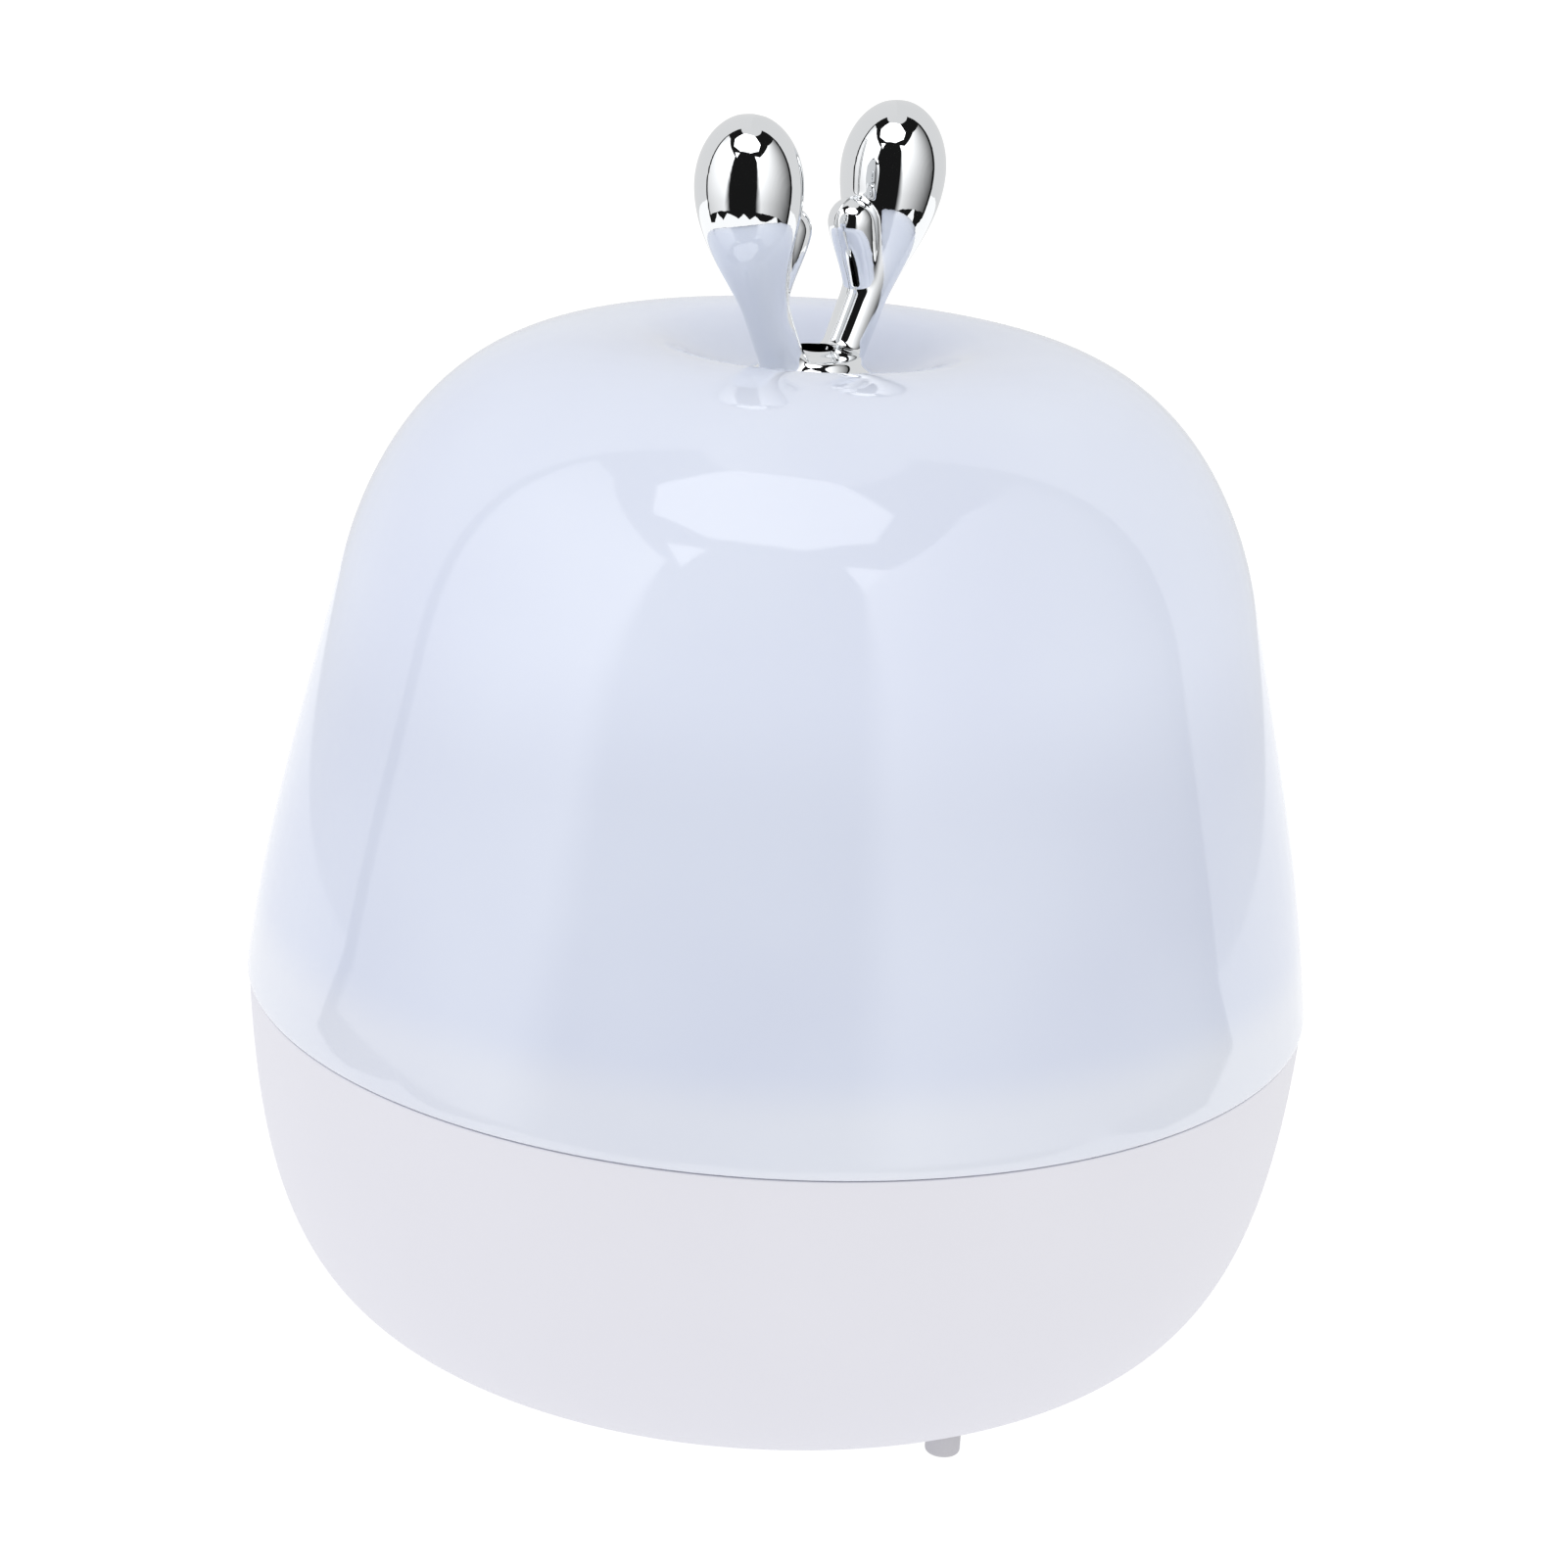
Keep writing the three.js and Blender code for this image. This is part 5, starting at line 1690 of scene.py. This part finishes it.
@dataclass
class Deck:
    """The deck over the electronics, with its well for the tank and its ring of lights."""

    lights: int = 6
    screws: int = 3
    plate: float = 2.0
    well_gap: float = 0.6
    well_wall: float = 1.6
    post_radius: float = 3.4
    post_bore: float = 1.6
    lead_hole: float = 1.2
    resistor_swing: float = 0.13

    def __post_init__(self) -> None:
        """Reads the well's radii from the frame."""
        self.well_inner = node_span("water_tank")[1].x + self.well_gap
        self.well_outer = self.well_inner + self.well_wall

    def build(self) -> Thing:
        """Makes the deck with its well wall and its screw posts.

        Returns:
            The deck.
        """
        low, high = node_span("deck")
        base = node_span("light_board")[0].z - GAP - self.plate
        top = base + self.plate
        inner, outer, edge = self.well_inner, self.well_outer, high.x
        corners = [
            (0, base, 0),
            (edge, base, 0.2),
            (edge, top, 0.2),
            (outer, top, 0.4),
            (outer, high.z, 0.3),
            (inner, high.z, 0.3),
            (inner, top, 0.4),
            (0, top, 0),
        ]
        deck = turned("deck_plate", rounded(corners, closed=False), segments=Segments.LARGE)
        lead = node_spot("light_lead")
        cut(deck, [disc("lead_hole", self.lead_hole, base - 2, top + THROUGH, 0.0, lead)])
        posts = []
        for node in numbered("bottom_screw", self.screws):
            spot, tip = node_spot(node), node_span(node)[1].z + 1
            post = disc("post", self.post_radius, low.z, base + 1, 0.2, spot)
            posts.append(cut(post, [disc("bore", self.post_bore, 0, tip, 0.0, spot)]))
        return merge(deck, posts)

    def build_board(self) -> Thing:
        """Makes the ring-shaped light board, open at the rear for the contact column.

        Returns:
            The board.
        """
        low, high = node_span("light_board")
        inner = self.well_outer + self.well_gap
        board = ring("light_ring", inner, high.x, low.z, high.z, 0.1, Segments.LARGE)
        left, right = node_span("contact_column")
        gap = (right.x - left.x) / 2 + 3 * GAP
        return cut(board, [block("gap", (-gap, 0, 0), (gap, 60, 60), 0.0)])

    def build_light(self, node: str) -> tuple[Thing, Thing]:
        """Makes one light: a white frame and its yellow face.

        Args:
            node: The light's frame node.

        Returns:
            The frame and the face.
        """
        low, high = node_span(node)
        top = high.z
        case = block(f"case_{node}", (-1.4, -1.75, low.z), (1.4, 1.75, top), 0.12)
        window = block("window", (-1.05, -1.4, top - 0.25), (1.05, 1.4, top + THROUGH), 0.0)
        cut(case, [window])
        face = block(f"face_{node}", (-1.0, -1.35, top - 0.24), (1.0, 1.35, top - 0.05), 0.05)
        for piece in (case, face):
            piece.data.transform(outward(node_spot(node)))
        return case, face

    def build_resistors(self) -> tuple[Thing, Thing]:
        """Makes a chip resistor beside each light.

        Returns:
            The dark bodies in one object and their tinned ends in another.
        """
        bodies, ends = [], []
        low = node_span("light_board")[1].z
        for node in numbered("light", self.lights):
            chip = block("chip", (-0.62, -0.4, low), (0.62, 0.4, low + 0.45), 0.05)
            left = block("end", (-0.85, -0.42, low), (-0.6, 0.42, low + 0.47), 0.05)
            right = block("end", (0.6, -0.42, low), (0.85, 0.42, low + 0.47), 0.05)
            for piece in (chip, left, right):
                piece.data.transform(outward(node_spot(node), self.resistor_swing))
            bodies.append(chip)
            ends += [left, right]
        chips, tips = merge(bodies[0], bodies[1:]), merge(ends[0], ends[1:])
        chips.name, tips.name = "resistor_bodies", "resistor_ends"
        return chips, tips

    def build_lead(self) -> Thing:
        """Makes the lead that feeds the light board through the deck.

        Returns:
            The lead.
        """
        low, high = node_span("light_lead")
        steps = 8
        points = [
            (*node_spot("light_lead"), low.z + (high.z - low.z) * i / steps)
            for i in range(steps + 1)
        ]
        return tube("light_wire", points, (high.x - low.x) / 2)

    def dress(self) -> None:
        """Builds and dresses the deck, the light board, the lights and their lead."""
        dress(self.build(), SATIN_ABS, "base", ["deck"])
        dress(self.build_board(), WHITE_MASK, "base", ["light_board"])
        for node in numbered("light", self.lights):
            case, face = self.build_light(node)
            dress(case, SATIN_ABS, "base", [node])
            dress(face, LED_EPOXY, "base")
        chips, tips = self.build_resistors()
        dress(chips, BLACK_NYLON, "base")
        dress(tips, TINNED, "base")
        dress(self.build_lead(), RED_PVC, "base", ["light_lead"])


@dataclass
class Tank:
    """The water tank and the contact column behind it."""

    wall: float = 1.6
    fill_line: float = 0.85
    pin_socket: float = 1.2
    socket_depth: float = 5.0

    def build(self) -> Thing:
        """Makes the tank with rounded corners and a raised fill line inside.

        Returns:
            The tank.
        """
        low, high = node_span("water_tank")
        radius, inner = high.x, high.x - self.wall
        floor = low.z + self.wall
        line = low.z + (high.z - low.z) * self.fill_line
        corners = [
            (0, low.z, 0),
            (radius, low.z, 2.4),
            (radius, high.z, 0.4),
            (inner, high.z, 0.4),
            (inner, line + 0.3, 0.0),
            (inner - 0.25, line, 0.1),
            (inner, line - 0.3, 0.0),
            (inner, floor, 1.6),
            (0, floor, 0),
        ]
        return turned("tank", rounded(corners, closed=False), segments=Segments.LARGE)

    def build_column(self) -> Thing:
        """Makes the column that brings the two contacts up beside the tank.

        Returns:
            The column.
        """
        low, high = node_span("contact_column")
        column = block("column", low, high, 0.5)
        ends = (high.z - self.socket_depth, high.z + THROUGH)
        tools = [
            disc("socket", self.pin_socket, *ends, 0.0, node_spot(node))
            for node in numbered("contact_pin", 2)
        ]
        return cut(column, tools)

    def build_pin(self, node: str) -> Thing:
        """Makes one sprung contact pin with a rounded tip.

        Args:
            node: The pin's frame node.

        Returns:
            The pin.
        """
        low, high = node_span(node)
        radius = (high.x - low.x) / 2
        return disc(f"pin_{node}", radius, low.z, high.z, 0.6, node_spot(node))

    def dress(self) -> None:
        """Builds and dresses the tank, the column and its pins."""
        dress(self.build(), FROSTED_PP, "base", ["water_tank"])
        dress(self.build_column(), SATIN_ABS, "base", ["contact_column"])
        for node in numbered("contact_pin", 2):
            dress(self.build_pin(node), GOLD_FLASH, "base", [node])


@dataclass
class MistHead:
    """The tank's lid with its seal, the wick in its tube, and the mist disc under its cap."""

    tank_wall: float = 1.6
    wick_radius: float = 4.2
    tube_wall: float = 0.9
    skirt_wall: float = 2.0
    skirt_drop: float = 4.0
    groove_depth: float = 1.5
    groove_half: float = 0.9
    socket_depth: float = 8.0
    socket_wall: float = 1.4
    pocket_radius: float = 1.8
    disc_radius: float = 8.0
    mesh_radius: float = 2.8
    cap_wall: float = 1.7
    cap_roof: float = 2.0
    notches: int = 8

    def __post_init__(self) -> None:
        """Works out the bore that the wick stands in."""
        self.bore = self.wick_radius + GAP

    def build_lid(self) -> Thing:
        """Makes the lid with its skirt, its grooved seal seat, its tube socket and its tab.

        Returns:
            The lid.
        """
        low, high = node_span("tank_lid")
        tank = node_span("water_tank")[1]
        under = tank.z + GAP
        skirt = tank.x - self.tank_wall - GAP
        skirt_inner, skirt_foot = skirt - self.skirt_wall, under - self.skirt_drop
        seal = node_middle("lid_seal").z
        groove_low, groove_high = seal - self.groove_half, seal + self.groove_half
        bore = self.bore
        socket = bore + self.tube_wall + GAP
        socket_outer, socket_foot = socket + self.socket_wall, under - self.socket_depth
        groove = skirt - self.groove_depth
        corners = [
            (bore, under, 0),
            (socket, under, 0),
            (socket, socket_foot, 0.2),
            (socket_outer, socket_foot, 0.2),
            (socket_outer, under, 0.3),
            (skirt_inner, under, 0.3),
            (skirt_inner, skirt_foot, 0.2),
            (skirt, skirt_foot, 0.3),
            (skirt, groove_low, 0.1),
            (groove, groove_low, 0),
            (groove, groove_high, 0),
            (skirt, groove_high, 0.1),
            (skirt, under, 0),
            (-low.x, under, 0.3),
            (-low.x, high.z, 0.6),
            (bore, high.z, 0.2),
        ]
        lid = turned("lid", rounded(corners), closed=True, segments=Segments.LARGE)
        half = node_span("contact_column")[1].x + 0.8
        tab = block("tab", (-half, skirt, under), (half, high.y, high.z), 0.5)
        cut(lid, [tab], "UNION")
        pockets = []
        for node in numbered("contact_pad", 2):
            ends = (under - THROUGH, node_span(node)[1].z + GAP)
            pockets.append(disc("pocket", self.pocket_radius, *ends, 0.0, node_spot(node)))
        return cut(lid, pockets)

    def build_seal(self) -> Thing:
        """Makes the lid's round-section sealing ring.

        Returns:
            The ring.
        """
        low, high = node_span("lid_seal")
        half = (high.z - low.z) / 2
        centre, level = high.x - half, (high.z + low.z) / 2
        section = [(centre + half * c, level + half * s) for c, s in around(20)]
        return turned("seal_ring", section, closed=True, segments=Segments.LARGE)

    def build_foot_cap(self) -> Thing:
        """Makes the cap under the wick's tube, with crossed slots that let the water in.

        Returns:
            The cap.
        """
        low, high = node_span("tube_foot_cap")
        radius = high.x
        inner, floor = radius - 1.1, low.z + 1.2
        corners = [
            (0, low.z, 0),
            (radius, low.z, 0.5),
            (radius, high.z, 0.3),
            (inner, high.z, 0.3),
            (inner, floor, 0),
            (0, floor, 0),
        ]
        cap = turned("tube_cap", rounded(corners, closed=False))
        reach = 0.8 * self.bore
        tools = [
            block("slot", (-x, -y, low.z - THROUGH), (x, y, floor + THROUGH), 0.0)
            for x, y in ((reach, 0.8), (0.8, reach))
        ]
        return cut(cap, tools)

    def build_spring(self) -> Thing:
        """Makes the coil spring that presses the wick against the disc.

        Returns:
            The spring.
        """
        low, high = node_span("wick_spring")
        wire, turns = 0.3, 4
        radius = high.x - wire
        steps = 32 * turns
        rise = high.z - low.z - 2 * wire
        points = []
        for i in range(steps + 1):
            turn = 2 * math.pi * turns * i / steps
            level = low.z + wire + rise * i / steps
            points.append((radius * math.cos(turn), radius * math.sin(turn), level))
        return tube("coil", points, wire, sides=3)

    def build_disc(self) -> Thing:
        """Makes the mist disc with its slightly raised mesh.

        Returns:
            The disc.
        """
        low, high = node_span("mist_disc")
        edge = low.z + 0.6
        corners = [
            (0, low.z, 0),
            (self.disc_radius, low.z, 0.1),
            (self.disc_radius, edge, 0.1),
            (self.mesh_radius, edge, 0.2),
            (self.mesh_radius / 2, high.z, 0.8),
            (0, high.z, 0),
        ]
        return turned("disc", rounded(corners, closed=False))

    def build_cap(self) -> Thing:
        """Makes the cap over the disc, with a chamfered mist hole and a ring of grip notches.

        Returns:
            The cap.
        """
        low, high = node_span("head_cap")
        outer = high.x
        inner = outer - self.cap_wall
        roof = high.z - self.cap_roof
        corners = [
            (inner, low.z, 0.2),
            (outer, low.z, 0.2),
            (outer, high.z, 1.1),
            (4.5, high.z, 0.2),
            (3.5, high.z - 1, 0.3),
            (3.5, roof, 0.2),
            (inner, roof, 0.2),
        ]
        cap = turned("mist_cap", rounded(corners), closed=True)
        start, end = (outer - 0.35, -0.8, low.z + 0.6), (outer + THROUGH, 0.8, high.z + THROUGH)
        tools = []
        for k in range(self.notches):
            notch = block("notch", start, end, 0.0)
            notch.data.transform(Matrix.Rotation(2 * math.pi * k / self.notches, 4, "Z"))
            tools.append(notch)
        return cut(cap, tools)

    def dress(self) -> None:
        """Builds and dresses the lid, the wick and everything round them."""
        dress(self.build_lid(), SATIN_ABS, "mist_head", ["tank_lid"])
        dress(self.build_seal(), SILICONE, "mist_head", ["lid_seal"])
        for node in numbered("contact_pad", 2):
            low, high = node_span(node)
            pad = disc(f"pad_{node}", 1.5, low.z, high.z, 0.15, node_spot(node))
            dress(pad, GOLD_FLASH, "mist_head", [node])
        low, high = node_span("wick_tube")
        wick_tube = ring("tube", self.bore, self.bore + self.tube_wall, low.z, high.z, 0.15)
        dress(wick_tube, FROSTED_PP, "mist_head", ["wick_tube"])
        dress(self.build_foot_cap(), SATIN_ABS, "mist_head", ["tube_foot_cap"])
        dress(self.build_spring(), ZINC_STEEL, "mist_head", ["wick_spring"])
        low, high = node_span("cotton_wick")
        wick = disc("wick", self.wick_radius, low.z, high.z, 0.6, segments=Segments.MEDIUM)
        dress(wick, COTTON, "mist_head", ["cotton_wick"])
        low, high = node_span("mist_disc_seal")
        gasket = ring("gasket", high.x - 3.2, high.x, low.z, high.z, 0.3)
        dress(gasket, SILICONE, "mist_head", ["mist_disc_seal"])
        dress(self.build_disc(), FIRED_SILVER, "mist_head", ["mist_disc"])
        dress(self.build_cap(), SATIN_ABS, "mist_head", ["head_cap"])


# ---- Studio ----


@dataclass(frozen=True)
class Screen:
    """A part of the studio's sphere that glows or stays dark.

    Bearings run from the camera's side, positive to its right, and rises from the horizon, both
    in degrees. Each pair is the value at the foot and at the head. The feather is how far the edge
    that faces the middle takes to reach full brightness. Distances are in metres.
    """

    name: str
    left: tuple[float, float]
    right: tuple[float, float]
    rises: tuple[float, float]
    distance: float
    left_glow: tuple[float, float]
    right_glow: tuple[float, float]
    feather: tuple[float, float] = (0.0, 0.0)
    feathered_side: int = 0
    ragged: float = 0.0

    def bearing(self, u: float, v: float) -> float:
        """Gives the bearing at a share of the way across and up."""
        left, right = blend(self.left, v), blend(self.right, v)
        return left + (right - left) * u

    def glow(self, u: float, v: float) -> float:
        """Gives the brightness at a share of the way across and up.

        Args:
            u: Share of the way from the left edge to the right.
            v: Share of the way from the foot to the head.

        Returns:
            The strength of the light there.
        """
        level = blend((blend(self.left_glow, v), blend(self.right_glow, v)), u)
        if not self.feathered_side:
            return level
        width = abs(blend(self.right, v) - blend(self.left, v))
        inward = width * (u if self.feathered_side < 0 else 1 - u)
        return level * min(inward / max(blend(self.feather, v), 0.01), 1.0)


def blend(pair: tuple[float, float], share: float) -> float:
    """Gives the value a share of the way from the first number to the second."""
    return pair[0] + (pair[1] - pair[0]) * share


@dataclass(frozen=True)
class Spot:
    """A flat glowing polygon on the studio's sphere, with its sizes in metres."""

    name: str
    bearing: float
    rise: float
    distance: float
    width: float
    height: float
    strength: float
    sides: int = 8
    spin: float = 0.0


SCREENS = (
    Screen("surround", (-180, -180), (180, 180), (-7, 90), 0.37, (0.76, 0.76), (0.74, 0.74)),
    Screen(
        "room", (-97, -97), (101, 101), (-14, 75), 0.36, (0.01, 0.01), (0.01, 0.01), ragged=4.0
    ),
    Screen(
        "panel_left",
        (-93, -93),
        (-40.5, -37.0),
        (-11, 42),
        0.35,
        (0.7, 1.1),
        (1.0, 2.0),
        feather=(12, 1),
        feathered_side=1,
    ),
    Screen("panel_left_head", (-93, -93), (-37, -78), (42, 57), 0.35, (1.1, 0.8), (2.0, 1.2)),
    Screen(
        "panel_right",
        (14.5, 16.5),
        (95, 95),
        (-11, 42),
        0.35,
        (1.0, 1.8),
        (0.08, 0.2),
        feather=(12, 1),
        feathered_side=-1,
    ),
    Screen("panel_right_head", (16.5, 60), (95, 95), (42, 57), 0.35, (1.8, 1.2), (0.2, 0.2)),
)
SPOTS = (
    Spot("softbox", -13.5, 65, 0.3, 0.252, 0.15, 2.45),
    Spot("gleam_left", -33.5, 45.5, 0.34, 0.058, 0.05, 2.6, sides=3, spin=-38),
    Spot("gleam_right", 18.5, 44, 0.34, 0.062, 0.05, 2.6, sides=3, spin=-18),
)


@dataclass
class Studio:
    """A lit table, a white surround, and the dark room with its panels and softbox, in metres."""

    centre_height: float = 0.05
    floor_radius: float = 60.0
    left_light: str = "#ffffff"
    right_light: str = "#f4f3ed"
    horizon: float = 1.08
    zenith: float = 1.18
    outermost: float = 0.37

    def direction(self, bearing: float, rise: float) -> Vector:
        """Gives the unit direction of a bearing and a rise, in degrees."""
        turn = math.radians(CAMERA_BEARING + bearing - 90)
        lift = math.radians(rise)
        flat = math.cos(lift)
        return Vector((math.cos(turn) * flat, math.sin(turn) * flat, math.sin(lift)))

    def middle(self) -> Vector:
        """Gives the centre of the studio's sphere."""
        return Vector((0, 0, self.centre_height))

    def reach(self, rise: float, distance: float) -> float:
        """Gives how far out a screen lies: on its sphere, or where the table cuts that short.

        Args:
            rise: The rise from the horizon, in degrees.
            distance: The radius of the screen's sphere.

        Returns:
            The distance from the studio's middle.
        """
        if rise >= 0:
            return distance
        clearance = 0.001 + 0.2 * (self.outermost - distance)
        return min(distance, (self.centre_height - clearance) / math.sin(math.radians(-rise)))

    def glow(self, name: str) -> Material:
        """Makes a screen's own light, whose strength its mesh carries at each corner.

        Args:
            name: The screen's name.

        Returns:
            The glowing material.
        """
        material = bpy.data.materials.new(f"{name}_glow")
        material.use_nodes = True
        tree = material.node_tree
        tree.nodes.clear()
        level = add_node(tree, "ShaderNodeAttribute", {"attribute_name": "glow"})
        lamp = add_node(tree, "ShaderNodeEmission", links={"Strength": level.outputs["Fac"]})
        output = add_node(tree, "ShaderNodeOutputMaterial")
        tree.links.new(lamp.outputs["Emission"], output.inputs["Surface"])
        return material

    def hang(self, name: str, body: bmesh.types.BMesh, levels: Sequence[float]) -> None:
        """Turns a bmesh into a stage object that only gloss can see.

        Args:
            name: The object's name.
            body: The bmesh, which is freed.
            levels: Brightness of each of its vertices.
        """
        mesh = bpy.data.meshes.new(name)
        body.to_mesh(mesh)
        body.free()
        attribute = mesh.attributes.new("glow", "FLOAT", "POINT")
        for place, level in zip(attribute.data, levels):
            place.value = level
        thing = bpy.data.objects.new(name, mesh)
        bpy.context.scene.collection.objects.link(thing)
        mesh.materials.append(self.glow(name))
        thing.visible_camera = False
        thing.visible_diffuse = False
        thing.visible_shadow = False

    def build_screen(self, screen: Screen) -> None:
        """Makes one curved screen as a grid of small faces, whose foot may be ragged.

        Args:
            screen: The screen.
        """
        body = bmesh.new()
        across, up, pitch = 96, 120, 6
        jitter = random.Random(7)
        peaks = [screen.ragged * jitter.uniform(-0.2, 1.0) for _ in range(across // pitch + 2)]
        rows, levels = [], []
        for j in range(up + 1):
            row = []
            for i in range(across + 1):
                u, v = i / across, j / up
                peak = blend((peaks[i // pitch], peaks[i // pitch + 1]), i % pitch / pitch)
                rise = blend(screen.rises, v) + peak * (1 - v) ** 8
                toward = self.direction(screen.bearing(u, v), rise)
                reach = self.reach(rise, screen.distance)
                row.append(body.verts.new(self.middle() + toward * reach))
                levels.append(screen.glow(u, v))
            rows.append(row)
        for low_row, high_row in zip(rows, rows[1:]):
            for i in range(across):
                body.faces.new([low_row[i], low_row[i + 1], high_row[i + 1], high_row[i]])
        self.hang(screen.name, body, levels)

    def build_spot(self, spot: Spot) -> None:
        """Makes one flat glowing polygon that faces the middle.

        Args:
            spot: The polygon.
        """
        body = bmesh.new()
        out = self.direction(spot.bearing, spot.rise)
        side = out.cross(Vector((0, 0, 1))).normalized()
        up = side.cross(out)
        corners = []
        for k in range(spot.sides):
            turn = 2 * math.pi * (k + 0.5) / spot.sides + math.radians(spot.spin)
            x, z = spot.width / 2 * math.cos(turn), spot.height / 2 * math.sin(turn)
            flat = side * x + up * z
            corners.append(body.verts.new(self.middle() + out * spot.distance + flat))
        body.faces.new(corners)
        self.hang(spot.name, body, [spot.strength] * spot.sides)

    def build_floor(self) -> None:
        """Lays the lit table under the feet."""
        body = bmesh.new()
        bmesh.ops.create_circle(body, cap_ends=True, segments=96, radius=self.floor_radius)
        floor = finish_mesh("light_table", body)
        floor.data.materials.append(PALETTE.of(TABLE_TOP))

    def build_surround(self) -> None:
        """Fills the surround with white light: warmer on the right, stronger overhead."""
        world = bpy.data.worlds.new("surround")
        bpy.context.scene.world = world
        world.use_nodes = True
        tree = world.node_tree
        toward = self.direction(90, 0)
        place = add_node(tree, "ShaderNodeTexCoord")
        share = add_node(tree, "ShaderNodeVectorMath", {"operation": "DOT_PRODUCT"})
        tree.links.new(place.outputs["Generated"], share.inputs[0])
        share.inputs[1].default_value = toward
        span = add_node(
            tree, "ShaderNodeMapRange", {"From Min": -1.0}, {"Value": share.outputs["Value"]}
        )
        stops = [(0.0, linear(self.left_light)), (1.0, linear(self.right_light))]
        tint = add_ramp(tree, span.outputs["Result"], stops)
        sky = tree.nodes["Background"]
        tree.links.new(tint.outputs[0], sky.inputs["Color"])
        up = add_node(tree, "ShaderNodeSeparateXYZ", links={"Vector": place.outputs["Generated"]})
        strengths = {"To Min": self.horizon, "To Max": self.zenith}
        lift = add_node(tree, "ShaderNodeMapRange", strengths, {"Value": up.outputs["Z"]})
        tree.links.new(lift.outputs["Result"], sky.inputs["Strength"])

    def build(self) -> None:
        """Builds floor, surround, screens and spots."""
        self.build_floor()
        self.build_surround()
        for screen in SCREENS:
            self.build_screen(screen)
        for spot in SPOTS:
            self.build_spot(spot)


@dataclass
class Viewpoint:
    """The camera: a short telephoto look from a little above, slightly tilted, in metres."""

    distance: float = 0.3604
    height: float = 0.17425
    aim_height: float = 0.0590
    aim_side: float = -0.00036
    tilt_degrees: float = 3.315
    lens_mm: float = 84.25
    sensor_mm: float = 36.0

    def build(self) -> None:
        """Makes the camera and sets it as the scene's."""
        turn = math.radians(CAMERA_BEARING - 90)
        back = Vector((math.cos(turn), math.sin(turn), 0))
        side = Vector((-math.sin(turn), math.cos(turn), 0))
        position = back * self.distance + Vector((0, 0, self.height))
        aim = side * self.aim_side + Vector((0, 0, self.aim_height))
        forward = (aim - position).normalized()
        level = forward.cross(Vector((0, 0, 1))).normalized()
        upright = level.cross(forward)
        tilt = math.radians(self.tilt_degrees)
        right = level * math.cos(tilt) + upright * math.sin(tilt)
        up = upright * math.cos(tilt) - level * math.sin(tilt)
        data = bpy.data.cameras.new("camera")
        data.lens = self.lens_mm
        data.sensor_width = self.sensor_mm
        camera = bpy.data.objects.new("camera", data)
        bpy.context.scene.collection.objects.link(camera)
        axes = Matrix((right, up, -forward)).transposed().to_4x4()
        camera.matrix_world = Matrix.Translation(position) @ axes
        bpy.context.scene.camera = camera


def main() -> None:
    """Builds the studio and the humidifier."""
    logging.basicConfig(level=logging.INFO, format="%(message)s")
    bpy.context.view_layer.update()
    bpy.context.scene.view_settings.view_transform = "Standard"
    Viewpoint().build()
    Studio().build()
    shell = Shell()
    assemblies = (
        Bowl(shell),
        Controls(shell),
        Deck(),
        Tank(),
        MistHead(),
        Dome(shell),
        Antlers(shell),
    )
    for assembly in assemblies:
        log.info("-- %s", type(assembly).__name__)
        assembly.dress()
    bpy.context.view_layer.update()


if __name__ == "__main__":
    main()
